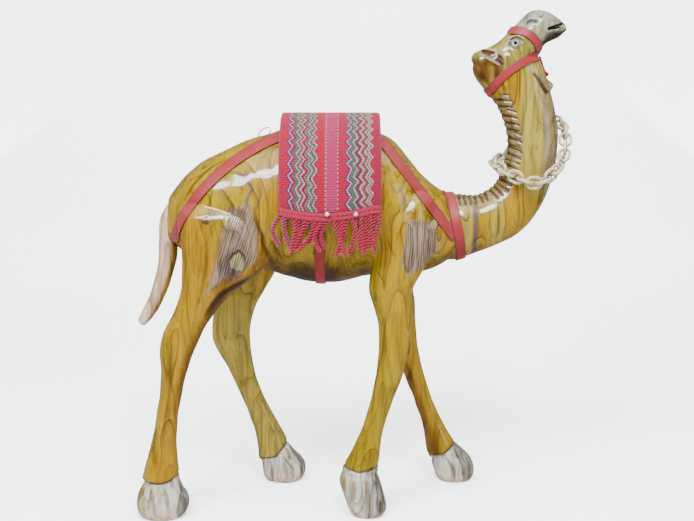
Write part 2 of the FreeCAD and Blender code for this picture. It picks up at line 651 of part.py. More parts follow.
def main():
    fill_sheet()
    doc.recompute()
    make_chain()
    carving, holes = make_wood()
    make_ears(carving, holes)
    make_straps(carving)
    make_blanket()
    make_trim()
    finish("tail", cut_all("tail_coped", limb("tail", "tail_limb"),
                           (carving, NODES["crupper_strap"], holes)))
    doc.recompute()
    check()
    os.makedirs("parts", exist_ok=True)
    for name, item in NODES.items():
        item.Shape.exportStep(f"parts/{name}.step")
        bounds = item.Shape.optimalBoundingBox(False)
        print(f"{name}: {len(item.Shape.Solids)} solid(s), {item.Shape.Volume:.0f} mm3, "
              f"x {bounds.XMin:.1f}..{bounds.XMax:.1f}, y {bounds.YMin:.1f}..{bounds.YMax:.1f}, "
              f"z {bounds.ZMin:.1f}..{bounds.ZMax:.1f}")


main()
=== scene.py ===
"""Looks of the carved camel: a lacquered olive-wood carving, leather straps, a woven saddle
blanket with a corded fringe, and a wooden neck chain.

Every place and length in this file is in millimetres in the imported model's frame, and is
turned into metres (MM) where meshes, glue planes, lights and the camera are made.
"""
from math import cos, pi, radians, sin, sqrt, tau

import bmesh
import bpy
import numpy as np
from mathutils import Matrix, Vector
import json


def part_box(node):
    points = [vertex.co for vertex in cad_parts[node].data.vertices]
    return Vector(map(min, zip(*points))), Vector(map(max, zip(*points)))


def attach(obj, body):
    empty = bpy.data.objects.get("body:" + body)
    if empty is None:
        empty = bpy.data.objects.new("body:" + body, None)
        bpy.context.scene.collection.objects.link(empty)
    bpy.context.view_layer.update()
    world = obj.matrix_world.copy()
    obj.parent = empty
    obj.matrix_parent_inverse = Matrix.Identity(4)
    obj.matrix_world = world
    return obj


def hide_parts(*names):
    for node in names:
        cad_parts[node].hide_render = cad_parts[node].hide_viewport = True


MM = 0.001
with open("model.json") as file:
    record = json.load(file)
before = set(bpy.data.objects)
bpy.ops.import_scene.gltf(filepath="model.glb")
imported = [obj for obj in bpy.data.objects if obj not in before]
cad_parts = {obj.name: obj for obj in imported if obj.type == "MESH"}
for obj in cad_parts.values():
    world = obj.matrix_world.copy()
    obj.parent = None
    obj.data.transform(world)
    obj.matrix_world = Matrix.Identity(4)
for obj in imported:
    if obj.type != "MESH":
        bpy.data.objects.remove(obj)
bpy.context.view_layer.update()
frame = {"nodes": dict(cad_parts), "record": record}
NODES = frame["nodes"]
SIDES = {"right": -1, "left": 1}


def node_box(name):
    """Lowest and highest corner of a CAD node, in millimetres."""
    low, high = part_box(name)
    return low / MM, high / MM


# ---------------- mesh helpers
def add_object(name, mesh):
    made = bpy.data.objects.new(name, mesh)
    bpy.context.scene.collection.objects.link(made)
    return made


def make_mesh(name, points, faces):
    """A new object from points in millimetres and faces as lists of point numbers."""
    mesh = bpy.data.meshes.new(name)
    mesh.from_pydata([tuple(c * MM for c in point) for point in points], [], faces)
    mesh.validate()
    return shade(add_object(name, mesh))


def shade(item):
    """Give an object smooth shading."""
    item.data.polygons.foreach_set("use_smooth", [True] * len(item.data.polygons))
    item.data.update()
    return item


def modify(item, kind, **settings):
    """Put one modifier on an object and keep its result as the object's own mesh."""
    modifier = item.modifiers.new(kind.title(), kind)
    for name, value in settings.items():
        setattr(modifier, name, value)
    graph = bpy.context.evaluated_depsgraph_get()
    result = bpy.data.meshes.new_from_object(item.evaluated_get(graph))
    item.modifiers.clear()
    former, item.data = item.data, result
    bpy.data.meshes.remove(former)


def joined(name, nodes):
    """One object that holds copies of the meshes of several CAD nodes."""
    work = bmesh.new()
    for node in nodes:
        work.from_mesh(NODES[node].data)
    mesh = bpy.data.meshes.new(name)
    work.to_mesh(mesh)
    work.free()
    return add_object(name, mesh)


def remesh(item, voxel, rounds):
    """Rebuild an object on an even grid and smooth it a little."""
    modify(item, "REMESH", mode="VOXEL", voxel_size=voxel * MM, use_smooth_shade=True)
    modify(item, "SMOOTH", factor=0.5, iterations=rounds)
    return shade(item)


def refine(item, chosen):
    """Halve the edges of an object whose ends both lie where chosen(points) is true."""
    wanted = chosen(points_of(item.data))
    work = bmesh.new()
    work.from_mesh(item.data)
    work.verts.ensure_lookup_table()
    edges = [edge for edge in work.edges if wanted[edge.verts[0].index] and wanted[edge.verts[1].index]]
    bmesh.ops.subdivide_edges(work, edges=edges, cuts=1, use_grid_fill=True)
    work.to_mesh(item.data)
    work.free()
    return shade(item)


def tube_faces(first, rows, around):
    """The faces of a closed tube whose rings of points follow each other from point first on."""
    faces = []
    for row in range(rows):
        for turn in range(around):
            a, b = (first + row * around + step % around for step in (turn, turn + 1))
            faces.append([a, b, b + around, a + around])
    ends = [[first + row * around + turn for turn in range(around)] for row in (0, rows)]
    return faces + [ends[0][::-1], ends[1]]


def points_of(mesh):
    values = np.empty(len(mesh.vertices) * 3)
    mesh.vertices.foreach_get("co", values)
    return values.reshape(-1, 3) / MM


def normals_of(mesh):
    values = np.empty(len(mesh.vertices) * 3)
    mesh.vertices.foreach_get("normal", values)
    return values.reshape(-1, 3)


def place_points(mesh, points):
    mesh.vertices.foreach_set("co", (points * MM).ravel())
    mesh.update()


def store(mesh, name, values):
    """Keep one number or one colour for every vertex under a name that materials can read."""
    kind, field = ("FLOAT", "value") if values.ndim == 1 else ("FLOAT_COLOR", "color")
    attribute = mesh.attributes.new(name, kind, "POINT")
    attribute.data.foreach_set(field, values.astype(np.float32).ravel())


def ease(low, high, value):
    """Rise smoothly from 0 at low to 1 at high, or fall when low is the larger."""
    share = np.clip((value - low) / (high - low), 0, 1)
    return share * share * (3 - 2 * share)


def to_path(points, path):
    """Distance of 2-D points to a polyline, and how far along it the nearest place lies (0 to 1)."""
    path = np.asarray(path, float)
    steps = np.linalg.norm(np.diff(path, axis=0), axis=1)
    total, before = steps.sum(), 0.0
    best = np.full(len(points), 1e9)
    share = np.zeros(len(points))
    for start, end, step in zip(path, path[1:], steps):
        part = np.clip((points - start) @ (end - start) / step ** 2, 0, 1)
        gap = np.linalg.norm(points - start - part[:, None] * (end - start), axis=1)
        nearer = gap < best
        best[nearer] = gap[nearer]
        share[nearer] = (before + part[nearer] * step) / total
        before += step
    return best, share


# ---------------- carving
class Carving:
    """A wooden mesh being carved: its points, how deep each is cut, its painted shade and stain, and its
    tint.
    """

    def __init__(self, item):
        self.item = item
        self.points = points_of(item.data)
        self.normals = normals_of(item.data)
        self.cut = np.zeros(len(self.points))
        self.shade_and_stain = np.zeros(len(self.points))
        self.tint = np.zeros((len(self.points), 4))

    def side_view(self, side):
        """The vertices that face one side (-1 right, +1 left)."""
        return (self.normals[:, 1] * side > 0.05) & (self.points[:, 1] * side > 0)

    def near_path(self, path, width, where, taper):
        """The points within width of a path in the side view, their distance, and how full the
        mark is there, which falls to nothing at both ends over the taper share."""
        path = np.asarray(path, float)
        low, high = path.min(0) - width, path.max(0) + width
        flat = self.points[:, [0, 2]]
        near = np.flatnonzero(where & (flat > low).all(1) & (flat < high).all(1))
        gap, share = to_path(flat[near], path)
        return near, gap, ease(0, taper, share) * ease(0, taper, 1 - share)

    def groove(self, path, width, depth, where, shade_and_stain=0.7, taper=0.25):
        """Cut a V along a path and paint shade into it."""
        near, gap, full = self.near_path(path, width, where, taper)
        reach = np.clip(1 - gap / (width / 2), 0, 1) * full
        self.cut[near] = np.maximum(self.cut[near], depth * reach)
        self.shade_and_stain[near] = np.maximum(self.shade_and_stain[near], shade_and_stain * reach)

    def streak(self, path, width, where, colour, strength=0.75):
        """Paint a soft streak of grain along a path."""
        near, gap, full = self.near_path(path, width, where, 0.3)
        mask = np.zeros(len(self.points))
        mask[near] = strength * ease(width / 2, width / 8, gap) * full
        self.paint(mask, colour)

    def darken(self, mask):
        """Darken the wood where mask is above 0, unless it is darker already: painted shade in cuts and
        hollows, and the dark rims of knots.
        """
        self.shade_and_stain = np.maximum(self.shade_and_stain, mask)

    def paint(self, mask, colour):
        """Lay a colour over the wood where mask is above 0, more strongly towards 1."""
        kept = self.tint[:, 3] * (1 - mask)
        total = np.maximum(kept + mask, 1e-6)
        for channel in range(3):
            self.tint[:, channel] = (self.tint[:, channel] * kept + colour[channel] * mask) / total
        self.tint[:, 3] = kept + mask

    def finish(self):
        carved = self.points - self.normals * self.cut[:, None]
        carved[:, 2] = np.maximum(carved[:, 2], 0)
        place_points(self.item.data, carved)
        store(self.item.data, "shade_and_stain", np.clip(self.shade_and_stain, 0, 1))
        store(self.item.data, "tint", self.tint)
        return self.item


# ---------------- node materials
class Shader:
    """Short calls for building one node material."""

    def __init__(self, name):
        self.material = bpy.data.materials.new(name)
        self.material.use_nodes = True
        self.tree = self.material.node_tree
        self.tree.nodes.clear()
        output = self.tree.nodes.new("ShaderNodeOutputMaterial")
        self.surface = self.tree.nodes.new("ShaderNodeBsdfPrincipled")
        self.tree.links.new(self.surface.outputs[0], output.inputs["Surface"])

    def node(self, kind, inputs, output=0, **settings):
        """Add a node.  inputs holds a socket or a value for each input, by number or name."""
        made = self.tree.nodes.new(f"ShaderNode{kind}")
        for name, value in settings.items():
            setattr(made, name, value)
        for key, value in inputs.items():
            self.feed(made.inputs[key], value)
        return made.outputs[output]

    def feed(self, socket, value):
        if isinstance(value, bpy.types.NodeSocket):
            self.tree.links.new(value, socket)
        else:
            socket.default_value = value

    def set(self, **inputs):
        """Feed the surface shader, with _ for the spaces of its input names."""
        for name, value in inputs.items():
            self.feed(self.surface.inputs[name.replace("_", " ")], value)
        return self.material

    def place(self):
        """The place on the object in millimetres."""
        spot = self.node("TexCoord", {}, "Object")
        return self.stretch(spot, (1 / MM,) * 3)

    def stretch(self, vector, scale):
        return self.node("VectorMath", {0: vector, 1: scale}, operation="MULTIPLY")

    def move(self, vector, offset):
        return self.node("VectorMath", {0: vector, 1: offset}, operation="ADD")

    def warp(self, vector, scale, amount):
        """Shift a vector by smooth noise, up to amount along each axis."""
        noise = self.node("TexNoise", {"Vector": vector, "Scale": scale, "Detail": 1.5}, "Color")
        centred = self.move(noise, (-0.5, -0.5, -0.5))
        return self.move(vector, self.stretch(centred, amount))

    def math(self, operation, *values):
        return self.node("Math", dict(enumerate(values)), operation=operation)

    def times(self, first, second):
        return self.math("MULTIPLY", first, second)

    def plus(self, first, second):
        return self.math("ADD", first, second)

    def noise(self, vector, scale, detail=3.0, roughness=0.55):
        return self.node("TexNoise", {"Vector": vector, "Scale": scale, "Detail": detail,
                                      "Roughness": roughness}, "Fac")

    def mix(self, share, first, second, blend="MIX"):
        made = self.tree.nodes.new("ShaderNodeMix")
        made.data_type, made.blend_type = "RGBA", blend
        for number, value in ((0, share), (6, first), (7, second)):
            self.feed(made.inputs[number], value)
        return made.outputs[2]

    def ramp(self, value, stops, kind="LINEAR"):
        """Turn a number into a colour or a grey.  stops holds (position, colour or grey)."""
        made = self.tree.nodes.new("ShaderNodeValToRGB")
        made.color_ramp.interpolation = kind
        marks = made.color_ramp.elements
        while len(marks) < len(stops):
            marks.new(0.5)
        for mark, (position, colour) in zip(marks, stops):
            mark.position = position
            mark.color = colour if isinstance(colour, tuple) else (colour,) * 3 + (1,)
        self.feed(made.inputs[0], value)
        return made.outputs[0]

    def span(self, value, low, high, start=0.0, end=1.0):
        """Map a number from one range to another, held inside the new one."""
        return self.node("MapRange", {"Value": value, "From Min": low, "From Max": high,
                                      "To Min": start, "To Max": end})

    def attribute(self, name, output="Fac"):
        return self.node("Attribute", {}, output, attribute_name=name)

    def bump(self, height, distance, strength):
        return self.node("Bump", {"Height": height, "Distance": distance, "Strength": strength})


def tone(red, green, blue, depth=1.75, gain=0.4):
    """A screen colour, 0 to 255 a channel, as a linear colour for the shaders.

    The view's film-like response lifts and softens colours, so they are set darker by gain and
    stronger by depth.
    """
    linear = [(c / 255) ** 2.2 for c in (red, green, blue)]
    grey = 0.25 * linear[0] + 0.65 * linear[1] + 0.1 * linear[2]
    return tuple(gain * max(0.002, grey + (c - grey) * depth) for c in linear) + (1.0,)


def wood_tone(red, green, blue):
    """A colour of the carved wood, set deeper than cloth because the lacquer's gloss veils it."""
    return tone(red, green, blue, 1.25, 0.265)


AMBER = wood_tone(192, 148, 66)
HONEY = wood_tone(196, 166, 76)
STRAW = wood_tone(204, 184, 112)
OLIVE = wood_tone(156, 128, 66)
CHESTNUT = wood_tone(118, 70, 32)
DARK_GRAIN = wood_tone(84, 54, 34)
GREY_BROWN = wood_tone(166, 150, 120)
SMOKE = wood_tone(168, 150, 146)
PURPLE_GREY = wood_tone(112, 92, 98)
# painted pale reflection of the lights on the lacquered hooves
PAINTED_HOOF_SHEEN = tone(222, 220, 206, 1.2, 0.4)
# painted shade on the toes beyond their clefts
TOE_SHADE = wood_tone(128, 128, 118)
TOE_BROWN = wood_tone(150, 112, 72)
BLUSH = tone(226, 194, 170, 1.35, 0.44)
UMBER = wood_tone(60, 34, 20)
KNOT_HEART = wood_tone(208, 202, 150)
MUZZLE = wood_tone(184, 188, 168)
FACE = wood_tone(186, 170, 104)
EYE_GREY = wood_tone(158, 160, 156)


def rug_tone(red, green, blue):
    """A colour of dyed wool, strong and deep."""
    return tone(red, green, blue, 1.75, 0.24)


def olive_wood():
    """Lacquered olive wood: long fibres, wandering dark figure, and painted shade in the cuts with the
    dark rims of knots.
    """
    make = Shader("olive_wood")
    place = make.place()
    bent = make.warp(place, 0.016, (16.0, 16.0, 10.0))
    long_way = make.stretch(bent, (1.0, 1.0, 0.13))
    contour = make.times(make.noise(long_way, 0.035, 1.0, 0.4), 15.0)
    ring = make.math("FRACT", contour)
    fibre = make.noise(make.stretch(bent, (1.0, 1.0, 0.035)), 0.9, 4.0, 0.65)
    board = make.noise(make.stretch(bent, (1.0, 1.0, 0.05)), 0.16, 2.0, 0.6)
    pore = make.noise(make.stretch(bent, (1.0, 1.0, 0.05)), 3.2, 2.0, 0.6)
    broad = make.noise(make.stretch(place, (1.0, 1.0, 0.45)), 0.022, 2.0, 0.5)
    base = make.mix(make.span(broad, 0.4, 0.6), AMBER, HONEY)
    base = make.mix(make.attribute("tint", "Alpha"), base, make.attribute("tint", "Color"))
    soft = make.ramp(ring, [(0.0, 0.0), (0.5, 0.1), (0.86, 0.45), (0.95, 1.0), (1.0, 0.0)])
    figured = make.span(make.noise(place, 0.012, 1.0), 0.42, 0.62)
    dark = make.times(soft, make.span(figured, 0, 1, 0.5, 1.0))
    wood = make.mix(dark, base, make.mix(0.9, base, DARK_GRAIN))
    boards = make.ramp(board, [(0.34, 0.62), (0.46, 1.0), (0.66, 1.18)])
    wood = make.mix(1.0, wood, boards, "MULTIPLY")
    streak = make.ramp(fibre, [(0.3, 0.62), (0.5, 1.0), (0.72, 1.16)])
    wood = make.mix(1.0, wood, streak, "MULTIPLY")
    wood = make.mix(make.span(pore, 0.64, 0.76, 0.0, 0.45), wood, DARK_GRAIN)
    # painted shade in the cuts, notches and hollows, with the knots' dark rims, mixed in as umber
    wood = make.mix(make.times(make.attribute("shade_and_stain"), 0.95), wood, UMBER)
    relief = make.bump(fibre, 0.05 * MM, 0.35)
    return make.set(Base_Color=wood, Roughness=0.3, Normal=relief, Coat_Weight=0.6,
                    Coat_Roughness=0.07, Specular_IOR_Level=0.12)


def plain_wood(name, light, dark, roughness):
    """Bare or thinly finished wood with a fine straight grain."""
    make = Shader(name)
    place = make.warp(make.place(), 0.2, (1.5, 1.5, 1.5))
    fibre = make.noise(make.stretch(place, (1.0, 1.0, 0.12)), 1.3, 4.0, 0.6)
    blotch = make.noise(place, 0.11, 2.0)
    wood = make.mix(make.span(fibre, 0.35, 0.68), light, dark)
    wood = make.mix(make.span(blotch, 0.45, 0.75, 0.0, 0.35), wood, dark)
    return make.set(Base_Color=wood, Roughness=roughness, Normal=make.bump(fibre, 0.08 * MM, 0.5),
                    Coat_Weight=0.35, Coat_Roughness=0.2)


def leather():
    """Red strap leather: pebbled grain, a painted pink sheen on the higher straps, with dark cut edges.
    """
    make = Shader("red_leather")
    place = make.place()
    pebble = make.node("TexVoronoi", {"Vector": place, "Scale": 1.5}, "Distance")
    patch = make.noise(place, 0.12, 3.0)
    share = make.span(patch, 0.35, 0.7)
    deep = make.mix(share, tone(96, 18, 30), tone(124, 28, 42))
    # the pink of the painted sheen
    painted_sheen = make.mix(share, tone(184, 100, 106, 1.4, 0.34), tone(206, 134, 138, 1.4, 0.34))
    colour = make.mix(make.attribute("painted_sheen"), deep, painted_sheen)
    colour = make.mix(make.span(pebble, 0.1, 0.75, 0.0, 0.25), tone(120, 30, 40), colour)
    edge = make.span(make.attribute("edge"), 0.8, 0.98)
    colour = make.mix(edge, colour, tone(66, 16, 20))
    return make.set(Base_Color=colour, Roughness=0.5, Normal=make.bump(pebble, 0.12 * MM, 0.4),
                    Specular_IOR_Level=0.2, Sheen_Weight=0.05)


def rug_weave():
    """Woven rug: red edges, two zigzag bands and a pale middle stripe, all over fine wefts."""
    make = Shader("rug_weave")
    uv = make.node("UVMap", {}, 0, uv_map="weave")
    axes = make.tree.nodes.new("ShaderNodeSeparateXYZ")
    make.feed(axes.inputs[0], make.stretch(uv, (UV_UNIT, UV_UNIT, 1.0)))
    across, along = axes.outputs[0], axes.outputs[1]
    wander = make.times(make.plus(make.noise(uv, 9.0, 2.0), -0.5), 8.0)
    turns = make.math("PINGPONG", make.plus(along, wander), ZIGZAG_STEP)
    drift = make.times(make.plus(make.noise(uv, 4.0, 1.0), -0.5), 2.4)
    zigzag = make.plus(make.plus(across, drift), make.times(turns, ZIGZAG_SLOPE))
    red, rose = rug_tone(200, 44, 96), rug_tone(210, 108, 136)
    crimson, plum = rug_tone(178, 28, 86), rug_tone(112, 50, 112)
    sage, grey = rug_tone(122, 142, 122), rug_tone(96, 100, 108)
    white, cream = rug_tone(222, 216, 206), rug_tone(196, 168, 132)
    colour = make.ramp(make.math("DIVIDE", across, BLANKET_LENGTH), [
        (0.0, red), (0.34, rug_tone(200, 58, 96)), (0.44, red), (0.462, rose), (0.56, rose),
        (0.58, red), (0.86, rug_tone(190, 50, 98)), (1.0, crimson)])
    wools = {"p": plum, "w": white, "c": crimson, "s": sage, "g": grey, "m": cream}
    for (start, end), order in zip(ZIGZAG_BANDS, ZIGZAG_WOOLS):
        share = make.math("DIVIDE", make.plus(zigzag, -start), end - start)
        stops = [(number / len(order), wools[letter]) for number, letter in enumerate(order)]
        inside_band = make.times(make.math("GREATER_THAN", share, 0.0),
                                 make.math("LESS_THAN", share, 1.0))
        colour = make.mix(inside_band, colour, make.ramp(share, stops, "CONSTANT"))
    dots = make.math("GREATER_THAN", make.math("FRACT", make.math("DIVIDE", along, DOT_PITCH)), 0.55)
    for spot in PALE_STRIPE:
        line = make.math("LESS_THAN", make.math("ABSOLUTE", make.plus(across, -spot)), 0.4)
        colour = make.mix(make.times(line, dots), colour, white)
    weft = make.math("SINE", make.times(along, tau / WEFT_PITCH))
    warp_thread = make.math("SINE", make.times(across, tau / WARP_PITCH))
    crossing = make.times(weft, warp_thread)
    fleck = make.noise(make.stretch(uv, (1.0, 2.2, 1.0)), 95.0, 2.0, 0.7)
    colour = make.mix(make.span(fleck, 0.42, 0.66, 0.0, 0.6), colour, rug_tone(96, 22, 46))
    height = make.plus(make.times(weft, 0.7), crossing)
    shadow = make.span(height, -1.7, 1.7, 0.6, 1.12)
    colour = make.mix(1.0, colour, shadow, "MULTIPLY")
    relief = make.bump(make.plus(crossing, fleck), 0.18 * MM, 0.7)
    return make.set(Base_Color=colour, Roughness=0.9, Normal=relief, Sheen_Weight=0.12,
                    Specular_IOR_Level=0.1)


def yarn():
    """Crimson wool, with painted shade in the grooves between the strands of each twist and some purple
    cords.
    """
    make = Shader("fringe_yarn")
    place = make.place()
    fibre = make.noise(place, 2.4, 3.0, 0.7)
    share = make.span(fibre, 0.3, 0.7)
    colour = make.mix(share, rug_tone(180, 28, 78), rug_tone(220, 84, 118))
    purple = make.mix(share, rug_tone(164, 34, 92), rug_tone(206, 84, 138))
    colour = make.mix(make.attribute("purple"), colour, purple)
    # painted shade between the strands, where crown is low
    colour = make.mix(make.attribute("crown"), make.mix(0.75, colour, rug_tone(90, 4, 34)), colour)
    return make.set(Base_Color=colour, Roughness=0.85, Normal=make.bump(fibre, 0.12 * MM, 0.6),
                    Sheen_Weight=0.15, Specular_IOR_Level=0.1)


def pearl():
    """Pearl-coated pin heads on steel shanks."""
    make = Shader("pin_metal")
    cloud = make.noise(make.place(), 0.9, 2.0)
    colour = make.mix(make.span(cloud, 0.3, 0.7), tone(240, 236, 228), tone(206, 200, 206))
    return make.set(Base_Color=colour, Roughness=0.22, Coat_Weight=0.8,
                    Coat_Roughness=0.05)


def studio_paper(name, near_glow, far_glow):
    """Near-white paper, which glows more towards the back like an evenly lit backdrop."""
    make = Shader(name)
    place = make.place()
    grain = make.noise(place, 0.004, 2.0)
    colour = make.mix(make.span(grain, 0.3, 0.7), (0.86, 0.86, 0.865, 1), (0.9, 0.9, 0.9, 1))
    axes = make.tree.nodes.new("ShaderNodeSeparateXYZ")
    make.feed(axes.inputs[0], place)
    glow = make.span(axes.outputs[1], -150.0, 1100.0, near_glow, far_glow)
    return make.set(Base_Color=colour, Roughness=0.9, Specular_IOR_Level=0.1,
                    Emission_Color=(1, 1, 1, 1), Emission_Strength=glow)


# ---------------- driving places, from the frame
BLANKET_LOW, BLANKET_HIGH = node_box("saddle_blanket")
BLANKET_LENGTH = BLANKET_HIGH.x - BLANKET_LOW.x
BLANKET_THICK = 2.0
WEFT_PITCH = 1.5
WARP_PITCH = 0.9
UV_UNIT = 100.0
ZIGZAG_STEP = 4.0
ZIGZAG_SLOPE = 0.75
ZIGZAG_BANDS = ((8.0, 26.0), (47.0, 63.5))
# The wools of each band in turn: plum, white, crimson, sage, grey and cream (m).
ZIGZAG_WOOLS = ("pwpcsgwscwcpmgwsgw", "pwgsgwspcwmgcwsw")
PALE_STRIPE = (31.5, 39.5)
DOT_PITCH = 2.6
LEGS = ("rear_leg_right", "rear_leg_left", "front_leg_right", "front_leg_left")
HIP_PLANE = node_box("rear_leg_right")[1].z
ELBOW_PLANE = node_box("front_leg_right")[1].z

# The neck's centre line in the side view, from the glue plane up to the poll.
NECK_LINE = ((73.5, 201), (94.5, 205), (106, 210), (117, 221), (122, 232), (125.5, 244),
             (127.5, 256.5), (126.5, 270), (120.5, 288), (113.2, 301), (108.9, 312))


# The headstall's band is an arc about this place in the side view.
HEADSTALL_X, HEADSTALL_Z, HEADSTALL_RADIUS = 144, 262.8, 58.2


# ---------------- the body block and the legs
HAUNCH_PATCH = ((-84, 219), (-66, 222), (-61, 200), (-62, 180), (-86, 167), (-102, 154), (-93, 180))
SHOULDER_PATCH = ((36, 211), (57, 209), (62, 196), (62, 185), (39, 168), (32, 180))


def inside(flat, outline, soft):
    """How far 2-D points lie inside an outline, rising from 0 at its edge to 1 soft mm in."""
    outline = np.asarray(outline, float)
    within = np.zeros(len(flat), bool)
    for (x0, z0), (x1, z1) in zip(outline, np.roll(outline, -1, axis=0)):
        crosses = (z0 > flat[:, 1]) != (z1 > flat[:, 1])
        at = (x1 - x0) * (flat[:, 1] - z0) / (z1 - z0 + 1e-12) + x0
        within ^= crosses & (flat[:, 0] < at)
    gap, _ = to_path(flat, np.vstack([outline, outline[:1]]))
    return np.where(within, np.clip(gap / soft, 0, 1), 0)


COMB_PITCH = 1.6
COMB_DEPTH = 0.6


def striations(wood, patch, lean):
    """Comb fine parallel grooves over a patch of the flank, as the carver did for coarse hair, with
    painted shade in the grooves.
    """
    flat = wood.points[:, [0, 2]]
    mask = inside(flat, patch, 4.0) * (np.abs(wood.points[:, 1]) > 14)
    mask = mask * (np.abs(wood.normals[:, 1]) > 0.1)
    rake = radians(lean)
    across = flat[:, 0] * cos(rake) - flat[:, 1] * sin(rake)
    down = flat[:, 0] * sin(rake) + flat[:, 1] * cos(rake)
    across = across + 0.5 * np.sin(down / 11.0) + 0.25 * np.sin(down / 4.3 + across / 3.0)
    wave = 0.5 + 0.5 * np.sin(tau * across / COMB_PITCH)
    broken = ease(-0.75, -0.1, np.sin(down / 9.0 + 5.0 * np.sin(across / 2.1)))
    valley = wave ** 2 * broken * mask
    wood.cut += COMB_DEPTH * valley
    # painted shade in the comb grooves
    wood.darken(0.8 * valley)
    wood.paint(mask * 0.75, SMOKE)


def knot(wood, x, z, wide, tall, side, core, painted_shade):
    """A knot: a tinted heart with a dark rim, heaviest above, and painted purple-grey shade behind and
    below.
    """
    where = wood.side_view(side)
    across, up = (wood.points[:, 0] - x) / wide, (wood.points[:, 2] - z) / tall
    turn = np.arctan2(up, across)
    gap = np.hypot(across, up) * (1 + 0.09 * np.sin(3 * turn + 1) + 0.06 * np.sin(8 * turn))
    cloud = ease(2.4, 0.9, np.hypot(across + 0.8, up + 0.35)) * where
    # painted purple-grey shade behind and below the knot
    wood.paint(cloud * painted_shade, PURPLE_GREY)
    wood.paint(ease(1.08, 0.8, gap) * where * 0.9, core)
    heavy = 0.35 + 0.65 * ease(-0.3, 0.6, up)
    rings = 1.2 * np.exp(-((gap - 1.12) / 0.17) ** 2) * heavy + 0.35 * np.exp(-((gap - 1.7) / 0.14) ** 2)
    near = where & (gap < 2.6)
    wood.darken(0.8 * rings * near)
    wood.cut += 0.25 * np.exp(-((gap - 1.1) / 0.15) ** 2) * near


def undulate(wood, amount):
    """The faint hollows that a knife and sandpaper leave under the lacquer."""
    waves, spread = 14, 3.7
    rng = np.random.RandomState(7)
    total = np.zeros(len(wood.points))
    for _ in range(waves):
        way = rng.normal(size=3)
        way /= np.linalg.norm(way)
        total += np.sin(wood.points @ way * tau / rng.uniform(9, 26) + rng.uniform(0, 6.3))
    wood.cut += amount * total / spread


def tint_body(wood):
    """Broad colours of the body block and legs, with painted shade on the undersides and along some leg
    edges.
    """
    paint = wood.paint
    x, y, z = wood.points.T
    ahead, up = wood.normals[:, 0], wood.normals[:, 2]
    middle = ease(-64, -50, x) * ease(28, 12, x)
    paint(middle * ease(206, 190, z) * 0.5, OLIVE)
    # darker umber wood low on the belly, partly painted shade under it
    board = 3 * np.sin(x / 4.3) + 2 * np.sin(x / 1.9 + 1)
    paint(middle * ease(183, 168, z + board) * 0.9, UMBER)
    rump = ease(-74, -92, x) * ease(205, 225, z)
    paint(rump * 0.5, HONEY)
    near_rear = ease(0, -12, y) * ease(-50, -64, x) * ease(200, 176, z)
    paint(near_rear * 0.5, AMBER)
    # painted shade along the near rear leg's front edge
    paint(near_rear * ease(0.35, 0.85, ahead) * ease(50, 110, z) * 0.85, CHESTNUT)
    paint(near_rear * ease(-0.5, -0.9, ahead) * ease(150, 120, z) * 0.6, STRAW)
    near_front = ease(0, -12, y) * ease(-14, -4, x) * ease(200, 160, z)
    paint(near_front * 0.7, HONEY)
    far = ease(4, 14, y)
    paint(far * ease(-40, -48, x) * ease(166, 130, z) * 0.6, STRAW)
    far_front = far * ease(10, 18, x) * ease(170, 150, z)
    # painted shade along the far front leg's back edge
    paint(far_front * ease(0.2, -0.5, ahead) * 0.7, CHESTNUT)
    paint(far_front * ease(0.0, 0.6, ahead) * 0.6, HONEY)
    # painted shade on the faces that look down
    under = ease(-0.35, -0.9, up) * ease(30, 60, z)
    paint(under * 0.6, UMBER)


# Bands of darker grain in the side view: path, width, strength and colour.
GRAIN_LINES = (
    (((-97.2, 243.5), (-104.3, 235.8), (-112.2, 224.6), (-115.5, 216)), 3.0, 0.75, OLIVE),
    (((-84, 250), (-95, 244), (-106, 234), (-112, 226), (-117, 217)), 2.2, 0.8, CHESTNUT),
    (((-91.9, 233), (-95.1, 221.9), (-96.6, 211.7)), 2.6, 0.6, CHESTNUT),
    (((-93.4, 202.3), (-97.4, 192.8), (-98.2, 179), (-101, 162), (-108, 140)), 3.2, 0.55, CHESTNUT),
    (((-112.5, 209.7), (-113.8, 192.4), (-112.4, 178.5), (-116, 150)), 2.4, 0.5, CHESTNUT),
    (((-72, 246), (-70, 238), (-66, 230), (-70, 222), (-67, 214)), 4.0, 0.8, PURPLE_GREY),
    (((-63, 234), (-60, 228), (-62, 220), (-66, 214)), 2.6, 0.7, PURPLE_GREY),
    (((-60, 172), (-76.4, 165.5), (-88.5, 158.5), (-96, 148), (-102.5, 134)), 6.5, 0.9, UMBER),
    (((-76, 172), (-88, 166), (-96, 158)), 8.0, 0.55, CHESTNUT),
    (((-65.5, 221.8), (-64, 209.9), (-59.4, 197), (-60.4, 187.5), (-63.1, 176)), 4.5, 0.85, CHESTNUT),
    (((-57.1, 198.9), (-50.4, 188.5), (-45.3, 177.2)), 2.2, 0.7, UMBER),
    (((30, 240), (36, 222), (34, 205), (28, 190)), 3.0, 0.5, CHESTNUT),
    (((-118, 120), (-124, 96), (-129, 70), (-131, 44)), 2.2, 0.6, CHESTNUT),
    (((18, 160), (13, 130), (9, 100), (5, 66), (3, 44)), 2.4, 0.55, OLIVE),
    (((24, 150), (22, 120), (16, 90), (13, 60)), 1.8, 0.6, CHESTNUT),
)


